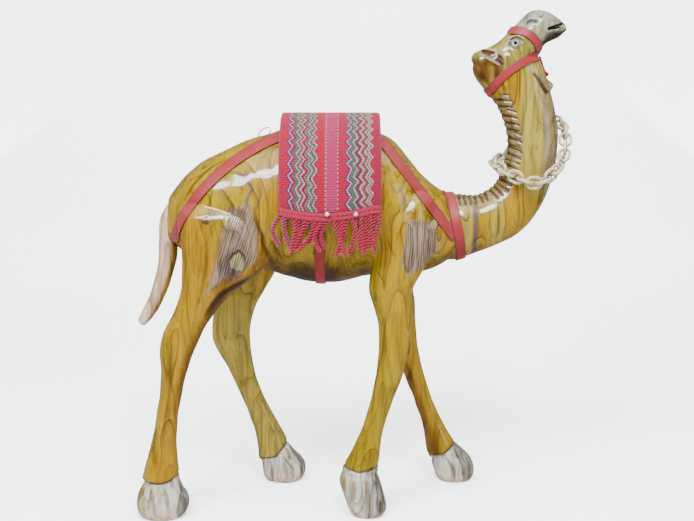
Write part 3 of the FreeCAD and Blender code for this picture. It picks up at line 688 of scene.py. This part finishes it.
# Each hoof's side (-1 right) and its carved lines in the side view: fetlock groove and toe clefts.
HOOF_LINES = (
    (-1, ((-146, 27.5), (-142.7, 27.1), (-133.6, 25.9), (-126.5, 27.1), (-118.5, 31.4)),
     ((-121.2, 28.4), (-118.3, 18.4), (-121.1, 3.3)), ((-138, 24.2), (-140, 15), (-140.5, 7.5))),
    (1, ((-70, 18.7), (-67, 18.7), (-57.3, 20.5), (-49.3, 29.2), (-46, 33)),
     ((-47.6, 27.8), (-37.2, 13.2), (-38.1, 4)), ((-53, 22), (-44, 12), (-44, 3))),
    (-1, ((-8, 37.4), (-4.4, 36.4), (5.8, 34.2), (16, 36.1), (20, 37.5)),
     ((16.5, 34.6), (18.7, 17.5), (17.3, 7.8)), ((16.9, 32.3), (22.6, 15.2), (22.3, 7.8))),
    (1, ((58, 19.6), (62.1, 20.3), (69.9, 22.3), (78.8, 28.4), (83, 32)),
     ((79.2, 26.8), (84.9, 13.8), (85.8, 4.8)), ((72, 21), (78, 12), (79, 3))),
)


def carve_hooves(wood):
    """Tint each hoof below its fetlock groove, with a painted pale reflection of the lights over it and
    painted shade on the toe beyond the cleft, and cut the groove and the toe clefts with painted shade
    in them.
    """
    paint = wood.paint
    x, y, z = wood.points.T
    for side, fetlock, *clefts in HOOF_LINES:
        own_side = y * side > 6
        line, cleft = np.array(fetlock), np.array(clefts[0])
        middle_x = line[:, 0].mean()
        here = own_side & (np.abs(x - middle_x) < 30)
        below = ease(0.7, -0.7, z - np.interp(x, line[:, 0], line[:, 1])) * here
        streak = np.sin((x - middle_x) * 0.62 + y * 0.3) * np.sin(y * 0.5 + 1.0)
        toe = ease(-0.8, 0.8, x - np.interp(z, cleft[::-1, 1], cleft[::-1, 0]))
        heel = ease(-7, -11, x - middle_x)
        # painted pale reflection of the lights over the whole hoof
        paint(below * 0.85, PAINTED_HOOF_SHEEN)
        paint(below * heel * 0.7, STRAW)
        paint(below * ease(0.1, 0.7, streak) * 0.65, TOE_BROWN)
        paint(below * ease(0.1, 0.8, -streak) * 0.35, GREY_BROWN)
        paint(below * ease(12, 4, z) * 0.5, BLUSH)
        # painted shade on the toe beyond the cleft
        paint(below * toe * 0.75, TOE_SHADE)
        # the fetlock groove and the clefts get painted shade
        wood.groove(fetlock, 2.6, 0.9, own_side, 0.95, 0.05)
        outer, inner = wood.side_view(side), wood.normals[:, 1] * side < -0.05
        for path in clefts:
            for face in (outer, inner):
                wood.groove(path, 2.2, 0.8, own_side & face, 0.8, 0.15)


# Knots: place in the side view, half width, half height, heart colour, and the painted shade around it.
KNOTS = ((-76.4, 181, 4.8, 6.2, KNOT_HEART, 0.75), (-97.5, 208.5, 3.2, 2.6, DARK_GRAIN, 0),
         (56.4, 204.9, 2.8, 3.4, KNOT_HEART, 0))
# Creases of the flank, elbow and breast, cut with painted shade in them: path, width and depth.
CREASES = ((((-61, 204), (-60, 195), (-55, 182), (-54.5, 173)), 3.2, 1.1),
           (((24, 197), (27, 189), (30, 182)), 1.6, 0.5),
           (((16.5, 175), (20, 170), (23, 165)), 1.6, 0.5))


def make_body():
    """The torso and the legs: one flowing surface, carved, then divided at its glue planes."""
    body = remesh(joined("body", ("torso",) + LEGS), voxel=0.85, rounds=9)

    def in_patches(points):
        flat = points[:, [0, 2]]
        both = np.maximum(inside(flat, HAUNCH_PATCH, 1.0), inside(flat, SHOULDER_PATCH, 1.0))
        return (both > 0) & (np.abs(points[:, 1]) > 14)

    refine(body, in_patches)
    wood = Carving(body)
    undulate(wood, 0.16)
    tint_body(wood)
    striations(wood, HAUNCH_PATCH, lean=16)
    striations(wood, SHOULDER_PATCH, lean=3)
    for side in SIDES.values():
        facing = wood.side_view(side)
        for path, width, strength, colour in GRAIN_LINES:
            wood.streak(path, width, facing, colour, strength)
        for x, z, wide, tall, core, painted_shade in KNOTS:
            knot(wood, x, z, wide, tall, side, core, painted_shade)
        for path, width, depth in CREASES:
            wood.groove(path, width, depth, facing)
    carve_hooves(wood)
    return wood.finish()


def divide(item, pieces):
    """Cut an object at planes and share it out.

    pieces holds (node, point, outward normal, test); the faces whose middle passes the test are
    moved to a piece of their own after the cut, and the rest stay with the first node named.
    """
    work = bmesh.new()
    work.from_mesh(item.data)
    for _, point, normal, test in pieces[1:]:
        near = [face for face in work.faces if test(face.calc_center_median() / MM, 4.0)]
        edges = {edge for face in near for edge in face.edges}
        verts = {vert for face in near for vert in face.verts}
        bmesh.ops.bisect_plane(work, geom=near + list(edges) + list(verts),
                               plane_co=Vector(point) * MM, plane_no=normal)
    mesh = bpy.data.meshes.new(item.name)
    work.to_mesh(mesh)
    owners = np.zeros(len(work.faces), int)
    for number, (_, _, _, test) in enumerate(pieces[1:], start=1):
        for face in work.faces:
            if test(face.calc_center_median() / MM, 0.0):
                owners[face.index] = number
    work.free()
    for number, (node, *_) in enumerate(pieces):
        part = bmesh.new()
        part.from_mesh(mesh)
        gone = [face for face in part.faces if owners[face.index] != number]
        bmesh.ops.delete(part, geom=gone, context="FACES")
        rims = [edge for edge in part.edges if edge.is_boundary]
        bmesh.ops.holes_fill(part, edges=rims, sides=0)
        for edge in rims:
            edge.smooth = False
        piece_mesh = bpy.data.meshes.new(f"wood_{node}")
        part.to_mesh(piece_mesh)
        part.free()
        own(shade(add_object(f"wood_{node}", piece_mesh)), "olive_wood", node)
    bpy.data.objects.remove(item)


def leg_test(name, plane):
    """A test for the faces that lie below a leg's glue plane, in that leg's own box."""
    low, high = node_box(name)

    def test(middle, margin):
        return (middle.z < plane + margin and low.x - 3 < middle.x < high.x + 3
                and low.y - 1.5 < middle.y < high.y + 1.5)
    return test


def own(piece, slot, *nodes):
    """Let a finished piece stand for CAD nodes, ride on their body and take their finish.

    A piece that stands for no node rides on the root body.
    """
    if nodes:
        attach(piece, next(name for name, listed in BODY_NODES.items() if nodes[0] in listed))
        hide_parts(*nodes)
    else:
        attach(piece, "root")
    piece.data.materials.clear()
    piece.data.materials.append(MATERIALS[slot])
    return piece


# ---------------- the neck and the head
def neck_place(points):
    """Where points lie by the neck: how far along its centre line, and how far ahead of it."""
    flat = points[:, [0, 2]]
    line = np.asarray(NECK_LINE, float)
    steps = np.linalg.norm(np.diff(line, axis=0), axis=1)
    length = steps.sum()
    _, share = to_path(flat, line)
    turn = np.gradient(line, axis=0)
    turn /= np.linalg.norm(turn, axis=1)[:, None]
    marks = np.concatenate([[0], np.cumsum(steps)]) / length
    middle = np.stack([np.interp(share, marks, line[:, i]) for i in (0, 1)], axis=1)
    way = np.stack([np.interp(share, marks, turn[:, i]) for i in (0, 1)], axis=1)
    offset = flat - middle
    ahead = offset[:, 0] * way[:, 1] - offset[:, 1] * way[:, 0]
    return share * length, ahead


# Distance from notch to notch at the withers, along the bend and up the neck.
MANE_PITCHES = (3.8, 4.5, 5.1)


def mane(wood):
    """Slanting notches down the back of the neck, with painted shade in them."""
    along, ahead = neck_place(wood.points)
    total = along.max()
    back = -18.5
    leans = np.interp(along, [0, 50, 62, 75, 87, 105, 125], [0.05, 0.05, 0.15, 0.35, 0.5, 0.65, 0.8])
    run = along + leans * (ahead - back)
    reach = np.interp(along, [0, 12, 30, 48, 60, 100, total], [-15, -13.5, -12, -8, -7.5, -8, -7])
    depth_in = (reach - ahead) / (reach - back)
    spots = [0, 45, 70, total]
    counts = np.concatenate([[0], np.cumsum(np.diff(spots) / MANE_PITCHES)])
    turns = np.interp(run, spots, counts)
    saw = turns - np.floor(turns)
    open_share = 0.36 + 0.42 * np.clip(depth_in, 0, 1)
    notch = np.clip(1 - np.abs(saw - 0.5) / (open_share / 2 + 1e-6), 0, 1)
    here = ease(0, 0.2, depth_in) * ease(2, 6, along)
    here = here * ease(total - 12, total - 17, along)
    wood.cut += 1.5 * notch * here * (1 - 0.5 * np.clip(depth_in, 0, 1))
    wood.paint(here * 0.6, GREY_BROWN)
    # painted shade in the notches
    wood.darken(0.95 * np.sqrt(notch) * here)


def tint_neck(wood):
    """The neck block's own boards of colour, which run straight up through it, and painted shade under
    the neck, under the jaw and in the mouth.
    """
    paint = wood.paint
    x, y, z = wood.points.T
    up = wood.normals[:, 2]
    upper = ease(214, 232, z) * ease(334, 326, z)
    amber = ease(117.5, 115, x) * upper
    grey = ease(131.5, 133.5, x) * upper
    paint(upper * (1 - amber) * (1 - grey) * 0.85, STRAW)
    paint(amber * 0.75, AMBER)
    paint(grey * 0.8, GREY_BROWN)
    lower = 1 - ease(214, 226, z)
    paint(lower * ease(72, 74, x) * ease(84.5, 83, x) * 0.8, STRAW)
    paint(lower * ease(84, 85, x) * ease(89, 87, x) * 0.9, PURPLE_GREY)
    paint(lower * ease(88, 90, x) * ease(100, 94, x) * 0.5, AMBER)
    paint(lower * ease(94, 100, x) * ease(108, 106, x) * 0.6, STRAW)
    paint(lower * ease(106, 112, x) * 0.6, HONEY)
    # painted shade on the underside of the lower neck
    paint(lower * ease(-0.55, -0.9, up) * 0.55, CHESTNUT)
    muzzle = ease(330, 336, z + 0.5 * (x - 118)) * ease(110, 118, x)
    flat = wood.points[:, [0, 2]]
    above_headstall = np.hypot(x - HEADSTALL_X, z - HEADSTALL_Z) - HEADSTALL_RADIUS
    face = ease(0, 2, above_headstall) * ease(284, 290, z)
    paint(face * (1 - muzzle) * 0.85, FACE)
    paint(muzzle * 0.85, MUZZLE)
    paint(ease(0.6, 0.95, up) * ease(322, 330, z) * 0.5, GREY_BROWN)
    poll = ease(106, 100, x) * ease(300, 305, z) * ease(320, 313, z)
    paint(poll * (0.75 + 0.2 * np.sin(x / 1.3)), CHESTNUT)
    # painted shade on the faces under the jaw
    jaw = ease(131, 134, x) * ease(-0.1, -0.6, up) * ease(318, 324, z)
    paint(jaw * 0.85, UMBER)
    paint(inside(flat, LOWER_JAW, 1.2) * 0.85, UMBER)
    paint(inside(flat, TUFT_TOP, 1.0) * 0.85, GREY_BROWN)
    paint(inside(flat, TUFT_SHADE, 1.0) * 0.9, UMBER)
    # painted shade inside the mouth cut
    mouth = inside(flat, MOUTH, 1.0) * (np.abs(y) < 12)
    wood.darken(0.9 * mouth * (np.abs(wood.normals[:, 1]) < 0.6))


# Grooves of the nostril, lip and throat, with painted shade in them: path, width, depth, painted shade
# and taper.
HEAD_GROOVES = (
    (((118.8, 341.0), (123, 342.8), (128, 341.6)), 3.4, 1.6, 1.0, 0.18),
    (((128.4, 343.6), (130.5, 346), (132.5, 348.4)), 1.6, 0.6, 0.7, 0.25),
    (((123, 308.6), (127, 305.5), (131.9, 301.2), (136, 295.6)), 2.4, 1.2, 0.95, 0.25),
)
# Streaks of grain on the head and nape: path, width, colour and strength.
HEAD_STREAKS = (
    (((118, 346), (123, 349), (130, 349)), 3.0, GREY_BROWN, 0.7),
    (((126, 330), (130, 336), (129, 341)), 4.0, OLIVE, 0.5),
    (((86, 311), (90, 305), (97, 299)), 5.0, UMBER, 0.6),
    (((96, 310), (103, 300), (108, 292)), 3.2, UMBER, 0.5),
    (((114.6, 316), (115.2, 300), (115.4, 286)), 1.8, DARK_GRAIN, 0.7),
)
EYE = (112.0, 327.4)
MOUTH = ((130.6, 332.6), (131.6, 335.8), (147, 343.5), (149, 338.5))
LOWER_JAW = ((130, 329), (139, 334.2), (147.5, 337.8), (149, 335), (141, 329), (131, 321))
TUFT_TOP = ((123, 309.5), (132, 307), (141.5, 298.5), (137.5, 294), (131, 301), (125, 306.5))
TUFT_SHADE = ((124, 308), (131, 302.4), (138, 294.6), (134, 292), (129, 298))


def make_neck_and_head():
    wood = Carving(remesh(joined("neck_and_head_work", ("neck_and_head",)), voxel=0.6, rounds=7))
    undulate(wood, 0.1)
    tint_neck(wood)
    mane(wood)
    for side in SIDES.values():
        eye(wood, side)
        facing = wood.side_view(side)
        for path, width, depth, shade_and_stain, taper in HEAD_GROOVES:
            wood.groove(path, width, depth, facing, shade_and_stain, taper)
        for path, width, colour, strength in HEAD_STREAKS:
            wood.streak(path, width, facing, colour, strength)
    own(wood.finish(), "olive_wood", "neck_and_head")


def eye(wood, side):
    """A round carved eye: a sunk ring under a heavy lid, with a painted shadow of the lid that is
    heaviest above, a grey disc, and a drilled pupil with painted shade in it.
    """
    x, y, z = wood.points.T
    gap = np.hypot(x - EYE[0], z - EYE[1])
    where = (y * side > 5) & (gap < 8)
    # painted shadow of the lid: the ring is darkest above
    upper = ease(-1.8, 1.6, (z - EYE[1]) - 0.25 * (x - EYE[0]))
    ring = np.exp(-((gap - 3.9) / 0.8) ** 2) * (0.25 + 0.75 * upper) * where
    wood.cut += 1.3 * ring - 0.5 * ease(3.6, 2.0, gap) * where
    wood.darken(np.minimum(1.0, 1.9 * ring))
    wood.paint(ease(3.7, 3.1, gap) * where * 0.9, EYE_GREY)
    pupil = ease(1.25, 0.8, gap) * where
    wood.cut += 0.8 * pupil
    # painted shade in the drilled pupil
    wood.darken(pupil)


def make_ear(side_name, side):
    """A leaf-shaped ear with a hollow face, laid back along the side of the head, with painted shade in
    the hollow.
    """
    base, tip = Vector((107.0, 10.6 * side, 312.0)), Vector((86.9, 15.6 * side, 322.3))
    way = (tip - base).normalized()
    out = Vector((-0.15, side, 0.42))
    out = (out - way * out.dot(way)).normalized()
    wide = way.cross(out)
    rows, around = 30, 28
    points, shades = [], []
    for row in range(rows + 1):
        share = row / rows
        half = 4.1 * sin(pi * min(1.0, share * 0.92 + 0.08)) ** 0.62 + 0.15
        thick = 1.9 * sin(pi * (0.1 + 0.86 * share)) ** 0.5 + 0.15
        bow = 1.4 * sin(pi * share)
        middle = base.lerp(tip, share) + wide * bow
        deep = ease(0.42, 0.62, share) * ease(1, 0.85, share)
        # how much painted shade lies in the hollow along the ear
        dark = ease(0.02, 0.12, share) * ease(1, 0.9, share)
        for turn in range(around):
            angle = tau * turn / around
            s, t = cos(angle), sin(angle)
            hollow = 2.3 * max(0.0, 1 - (s / 0.82) ** 2) * deep if t > 0 else 0.0
            points.append(middle + wide * (half * s) + out * (thick * t - hollow))
            rim = ease(0.62, 0.86, abs(s))
            shades.append(float((1 - rim) * (t > -0.05) * dark))
    ear = make_mesh(f"wood_ear_{side_name}", points, tube_faces(0, rows, around))
    # painted shade in the hollow, away from the rim
    store(ear.data, "shade_and_stain", 0.95 * np.array(shades))
    store(ear.data, "tint", np.tile(np.array([*BLUSH[:3], 0.6]), (len(points), 1)))
    modify(ear, "SUBSURF", levels=1, render_levels=1)
    own(shade(ear), "olive_wood", f"ear_{side_name}")


def make_tail():
    wood = Carving(remesh(joined("tail_work", ("tail",)), voxel=0.6, rounds=5))
    undulate(wood, 0.1)
    ahead = wood.normals[:, 0]
    # painted pinkish reflection over the tail's back and sides, amber on its front
    wood.paint(ease(0.75, 0.2, ahead) * 0.9, BLUSH)
    wood.paint(ease(0.3, 0.8, ahead) * 0.7, AMBER)
    own(wood.finish(), "olive_wood", "tail")


# ---------------- leather straps
def make_strap(node, painted_sheen, across):
    """A strap with rounded edges.  across(points) is 0 along its middle and 1 at its edges."""
    strap = remesh(joined(f"leather_{node}", (node,)), voxel=0.32, rounds=3)
    points = points_of(strap.data)
    store(strap.data, "edge", np.abs(across(points)))
    # painted pink sheen, rising towards the straps' upper parts
    store(strap.data, "painted_sheen", painted_sheen * ease(184, 200, points[:, 2]))
    own(strap, "red_leather", node)


def band(x, z, lean, width):
    """The across measure of a straight band that passes (x, z) and leans back by lean degrees."""
    turn = radians(lean)

    def across(points):
        return ((points[:, 0] - x) * cos(turn) + (points[:, 2] - z) * sin(turn)) / (width / 2)
    return across


def arc(x, z, radius, width):
    """The across measure of a band that is cut along an arc about (x, z)."""
    def across(points):
        return (np.hypot(points[:, 0] - x, points[:, 2] - z) - radius) / (width / 2)
    return across


def make_straps():
    """Every strap, with the band that it was cut along."""
    # the second number sets each strap's painted pink sheen
    make_strap("girth_strap", 0.0, band(-21.5, 0, 0, 7))
    make_strap("neck_collar", 1.0, band(73.5, 201, 11, 7))
    make_strap("breast_straps", 1.0, band(45, 230.5, 37, 7))
    make_strap("headstall", 0.8, arc(HEADSTALL_X, HEADSTALL_Z, HEADSTALL_RADIUS, 6))
    make_strap("noseband", 0.9, arc(109.8, 315.5, 21.1, 6))
    haunch = arc(1, 137.7, 136.5, 7)
    seat = node_box("crupper_strap")[0].z + 3.5

    def crupper(points):
        level = np.abs(points[:, 2] - seat) / 3.5
        under_tail = (level < 1) & (points[:, 0] < -112)
        return np.where(under_tail, np.minimum(level, np.abs(haunch(points))), haunch(points))
    make_strap("crupper_strap", 1.0, crupper)


# ---------------- the blanket
ARCH_CENTRE = 218.5
ARCH_HALF_WIDTH = 46.6
ARCH_HEIGHT = 60.6
BLANKET_EDGE = BLANKET_LOW.z
BLANKET_HEM = 3.0


def sag(x):
    """How far the lower edge hangs below its corners, along the blanket."""
    share = (x - BLANKET_LOW.x) / BLANKET_LENGTH
    return 4.6 * sin(pi * min(1, share * 1.08)) ** 0.9 - 1.2 * share - 0.4


def arch_length():
    """Arc length of the blanket's middle surface from one lower edge to the other."""
    steps = 400
    spots = [arch_point(-1 + 2 * n / steps, BLANKET_THICK / 2) for n in range(steps + 1)]
    return sum((b - a).length for a, b in zip(spots, spots[1:]))


def arch_point(share, out):
    """A point of the arch section, from -1 at the right lower edge over the top to +1."""
    turn = share * pi / 2
    a, b = ARCH_HALF_WIDTH + out, ARCH_HEIGHT + out
    return Vector((0, a * sin(turn), ARCH_CENTRE + b * cos(turn)))


def make_blanket():
    """The rug as one thin sheet over the hump, with raised wefts and a softly hanging edge."""
    length = arch_length()
    rows = int(length / (WEFT_PITCH / 4))
    columns, marks = 96, 2000
    spots = [arch_point(-1 + 2 * n / marks, 0.1) for n in range(marks + 1)]
    steps = np.concatenate([[0], np.cumsum([(b - a).length for a, b in zip(spots, spots[1:])])])
    points, uvs = [], []
    for layer in (1, 0):
        for row in range(rows + 1):
            here = steps[-1] * row / rows
            share = -1 + 2 * np.interp(here, steps, np.arange(marks + 1)) / marks
            for column in range(columns + 1):
                x = BLANKET_LOW.x + BLANKET_LENGTH * column / columns
                drop = max(0.0, abs(share) - 0.55) / 0.45
                rib = 0.16 * sin(tau * here / WEFT_PITCH)
                edge = min(column, columns - column) / columns
                ripple = 0.35 * drop * sin((x - BLANKET_LOW.x) / 7.5 + (1.5 if share > 0 else 0))
                from_edge = min(1.0, BLANKET_LENGTH * edge / BLANKET_HEM)
                full = 0.3 + 0.7 * sqrt(1 - (1 - from_edge) ** 2)
                out = 0.15 + layer * full * (BLANKET_THICK - 0.5 + rib) + max(-0.1, ripple) * 0.6
                spot = arch_point(share, out)
                points.append((x, spot.y, spot.z - sag(x) * drop ** 2))
                uvs.append(((x - BLANKET_LOW.x) / UV_UNIT, here / UV_UNIT))
    width = columns + 1
    count = (rows + 1) * width
    faces = []
    for row in range(rows):
        for column in range(columns):
            a = row * width + column
            faces.append([a, a + 1, a + width + 1, a + width])
            faces.append([count + a, count + a + width, count + a + width + 1, count + a + 1])
    rim = ([(row * width, (row + 1) * width) for row in range(rows)]
           + [((row + 1) * width + columns, row * width + columns) for row in range(rows)]
           + [(column + 1, column) for column in range(columns)]
           + [(rows * width + column, rows * width + column + 1) for column in range(columns)])
    faces += [[a, b, b + count, a + count] for a, b in rim]
    blanket = make_mesh("woven_blanket", points, faces)
    layer = blanket.data.uv_layers.new(name="weave")
    for loop in blanket.data.loops:
        layer.data[loop.index].uv = uvs[loop.vertex_index]
    own(blanket, "rug_weave", "saddle_blanket")
    return blanket, length


# Twisted cords: the spacing of their rings, and each strand's offset and radius in cord radii.
CORD_ROW = 0.45
STRAND_OFFSET = 0.52
STRAND_RADIUS = 0.56


def twisted(name, paths, radius, strands, pitch, nodes, purple=()):
    """Twisted cords: each path is a list of points, wound round by a few thin strands.

    purple lists the numbers of the cords that are dyed purple.
    """
    points, faces, crowns, purples = [], [], [], []
    around = 7
    for cord, path in enumerate(paths):
        path = [Vector(p) for p in path]
        steps = [0.0]
        for a, b in zip(path, path[1:]):
            steps.append(steps[-1] + (b - a).length)
        rows = max(6, int(steps[-1] / CORD_ROW))
        centres = []
        for row in range(rows + 1):
            here = steps[-1] * row / rows
            number = min(len(path) - 2, max(0, int(np.searchsorted(steps, here)) - 1))
            share = (here - steps[number]) / (steps[number + 1] - steps[number])
            centres.append(path[number].lerp(path[number + 1], share))
        for _ in range(3):
            centres = [centres[0]] + [(a + b * 2 + c) / 4 for a, b, c in
                                      zip(centres, centres[1:], centres[2:])] + [centres[-1]]
        side = Vector((0.3, 1, 0.1))
        for strand in range(strands):
            first = len(points)
            for row, centre in enumerate(centres):
                ahead = centres[min(row + 1, rows)] - centres[max(row - 1, 0)]
                ahead.normalize()
                across = (side - ahead * side.dot(ahead)).normalized()
                up = ahead.cross(across)
                turn = tau * (strand / strands + steps[-1] * row / rows / pitch)
                end = min(1.0, 0.45 + min(row, rows - row) * 0.4)
                arm = (across * cos(turn) + up * sin(turn)) * radius
                middle = centre + arm * STRAND_OFFSET * end
                for spoke in range(around):
                    angle = tau * spoke / around
                    arm = (across * cos(angle) + up * sin(angle)) * radius * STRAND_RADIUS * end
                    points.append(middle + arm)
                    out = (middle + arm - centre).length / (radius * (STRAND_OFFSET + STRAND_RADIUS))
                    crowns.append(float(ease(0.5, 1.0, out)))
                    purples.append(float(cord in purple))
            faces += tube_faces(first, rows, around)
    cords = make_mesh(name, points, faces)
    store(cords.data, "crown", np.array(crowns))
    store(cords.data, "purple", np.array(purples))
    return own(cords, "fringe_yarn", *nodes)


# How each cord of the fringe hangs: lean of its tip along the blanket, sideways bow, length.
FRINGE_HANG = ((-1, -5, 20), (3, -2, 21), (7, 2, 22), (-3, 1, 23), (-6, 0, 24), (-9, 1, 23),
               (-9, -1, 20), (-10, 2, 20), (-8, 1, 16), (-2, -5, 21), (-1, -4, 19), (7, 1, 23),
               (5, 0, 24), (-4, 1, 24), (-6, 0, 23), (5, 2, 22), (-5, 1, 25), (2, 0, 26),
               (-1, 1, 25), (3, 0, 26), (-7, 1, 25), (-8, 2, 24))


def make_trim():
    """The braided heading and the splayed cords below it, on both sides."""
    trim = []
    for side_name, side in SIDES.items():
        y = side * (ARCH_HALF_WIDTH + BLANKET_THICK / 2 + 0.6)

        def edge_point(share, out, down):
            x = BLANKET_LOW.x + BLANKET_LENGTH * share
            return (x, y + side * out, BLANKET_EDGE - sag(x) - down)
        shares = [n / 24 for n in range(25)]
        braid = [[edge_point(share, out, down) for share in shares]
                 for out, down in ((0.4, -0.2), (0.7, 2.3))]
        trim.append(twisted(f"braid_{side_name}", braid, 1.7, 3, 5.0,
                            (f"fringe_heading_{side_name}",)))
        hang = FRINGE_HANG if side < 0 else FRINGE_HANG[::-1]
        cords = []
        for number, (lean, bow, fall) in enumerate(hang):
            share = (number + 0.6) / len(hang)
            x, top_y, top_z = edge_point(share, 0.4 + 0.9 * (number % 2), 3.4)
            path = []
            for step in range(11):
                t = step / 10
                path.append((x + lean * t ** 1.15 + bow * sin(pi * t),
                             top_y - side * (0.9 * t - 0.8 * sin(pi * t)),
                             top_z - fall * t + 0.06 * abs(lean) * t))
            cords.append(path)
        trim.append(twisted(f"fringe_cords_{side_name}", cords, 1.45, 2, 4.2,
                            (f"fringe_{side_name}",), (0, 1) if side < 0 else (20, 21)))
    return trim


def make_ties():
    """The throat lash with its knot below the chin, and the thread ends behind the blanket."""
    lash = [((131.0, 0, 319.6), (133.0, 0, 313.6), (134.9, 0, 308.8), (136.6, 0, 307.0)),
            ((135.4, 0, 308.4), (136.9, 0, 307.8), (137.2, 0, 306.4), (135.8, 0, 305.9)),
            ((135.8, 1.0, 306.4), (136.6, 1.6, 307.4), (137.3, 0.4, 307.6), (136.8, -1.0, 306.6))]
    twisted("throat_lash", lash, 0.9, 2, 2.6, ())
    wisps = [((-64.6, 0, 259.6), (-65.6, 0, 264), (-64.3, 0, 267.4), (-60.8, 0, 270), (-57.2, 0, 270.3)),
             ((-60.2, 0, 263.6), (-59.2, 0, 264.8), (-57.2, 0, 266.2), (-56.2, 0, 269))]
    twisted("thread_ends", wisps, 0.45, 2, 1.8, (), (0, 1))


# ---------------- floor, lights and camera
def make_stage():
    """A pale floor that curves up into a backdrop, and a round wall that only the camera sees."""
    front, back, sweep, top, steps = -1500, 900, 500, 2500, 12
    profile = [(front, 0), (back, 0)]
    for step in range(1, steps + 1):
        turn = radians(90 * step / steps)
        profile.append((back + sweep * sin(turn), sweep - sweep * cos(turn)))
    profile.append((back + sweep, top))
    points = [(x, y, z) for y, z in profile for x in (-3000, 3000)]
    faces = [[2 * n, 2 * n + 1, 2 * n + 3, 2 * n + 2] for n in range(len(profile) - 1)]
    floor = make_mesh("studio_floor", points, faces)
    floor.data.materials.append(studio_paper("studio_floor", 0.5, 2.4))
    floor.visible_glossy = False

    around, radius, low, high = 72, 1480, -2, 2600
    turns = [tau * n / around for n in range(around)]
    ring = [(radius * cos(turn), radius * sin(turn)) for turn in turns]
    points = [(x, y, z) for z in (low, high) for x, y in ring]
    faces = [[n, (n + 1) % around, around + (n + 1) % around, around + n] for n in range(around)]
    wall = make_mesh("studio_wall", points, faces)
    wall.data.materials.append(studio_paper("studio_wall", 2.2, 2.2))
    wall.visible_glossy = wall.visible_diffuse = wall.visible_shadow = False


def add_light(name, place, target, size, power, colour=(1, 1, 1)):
    """A rectangular light at a place, turned to a target; its power is in watts."""
    data = bpy.data.lights.new(name, "AREA")
    data.shape, data.size, data.size_y = "RECTANGLE", size[0] * MM, size[1] * MM
    data.energy, data.color = power, colour
    light = bpy.data.objects.new(name, data)
    bpy.context.scene.collection.objects.link(light)
    light.location = Vector(place) * MM
    light.rotation_euler = (Vector(target) - Vector(place)).to_track_quat("-Z", "Y").to_euler()


# The window's panes, in front of the figure and above it.
WINDOW_COLUMNS = (-590, -270, 160)
WINDOW_ROWS = (800, 1010)
WINDOW_Y = -620
PANE_SIZE = (260, 170)
DAYLIGHT = (0.88, 0.95, 1.0)


def make_lights():
    world = bpy.data.worlds.new("studio")
    bpy.context.scene.world = world
    world.use_nodes = True
    background = world.node_tree.nodes["Background"].inputs
    background["Color"].default_value = (0.93, 0.96, 1.0, 1)
    background["Strength"].default_value = 0.22
    for x in WINDOW_COLUMNS:
        for z in WINDOW_ROWS:
            add_light("window_pane", (x, WINDOW_Y, z), (0, 0, 190), PANE_SIZE, 8, DAYLIGHT)
    add_light("ceiling", (150, -150, 1150), (0, 0, 150), (1400, 1100), 26)
    add_light("side_fill", (900, -500, 420), (0, 0, 180), (400, 600), 3)


CAMERA_LENS = 50.2
CAMERA_PLACE = (-2.9, -686.2, 277.1)
CAMERA_DIP = 8.394


def make_camera():
    """The camera, level with the head and looking slightly down."""
    data = bpy.data.cameras.new("camera")
    data.lens, data.sensor_width = CAMERA_LENS, 36
    camera = bpy.data.objects.new("camera", data)
    bpy.context.scene.collection.objects.link(camera)
    camera.location = Vector(CAMERA_PLACE) * MM
    camera.rotation_euler = (radians(90 - CAMERA_DIP), 0, 0)
    data.clip_start, data.clip_end = 0.01, 20
    bpy.context.scene.camera = camera


# ---------------- putting it together
BODY_NODES = frame["record"]["behaviour"]["bodies"]
MATERIALS = {
    "olive_wood": olive_wood(),
    "dowel_wood": plain_wood("dowel_wood", tone(214, 184, 132), tone(176, 138, 88), 0.6),
    "chain_wood": plain_wood("chain_wood", tone(236, 226, 198, 1.3), tone(190, 166, 130, 1.3), 0.42),
    "red_leather": leather(),
    "rug_weave": rug_weave(),
    "fringe_yarn": yarn(),
    "pin_metal": pearl(),
}
SLOT_OF = {entry["node"]: entry["material_slot"] for entry in frame["record"]["subparts"]}


def dress_nodes():
    """Give every CAD node that still shows its own material."""
    for name, node in NODES.items():
        node.data.materials.clear()
        node.data.materials.append(MATERIALS[SLOT_OF[name]])


make_camera()
make_lights()
make_stage()
dress_nodes()
divide(make_body(), [("torso", None, None, None)] + [
    (name, (0, 0, plane), (0, 0, 1), leg_test(name, plane))
    for name, plane in zip(LEGS, (HIP_PLANE, HIP_PLANE, ELBOW_PLANE, ELBOW_PLANE))])
make_neck_and_head()
for side_name, side in SIDES.items():
    make_ear(side_name, side)
make_tail()
make_straps()
blanket, blanket_length = make_blanket()
trim = make_trim()
make_ties()
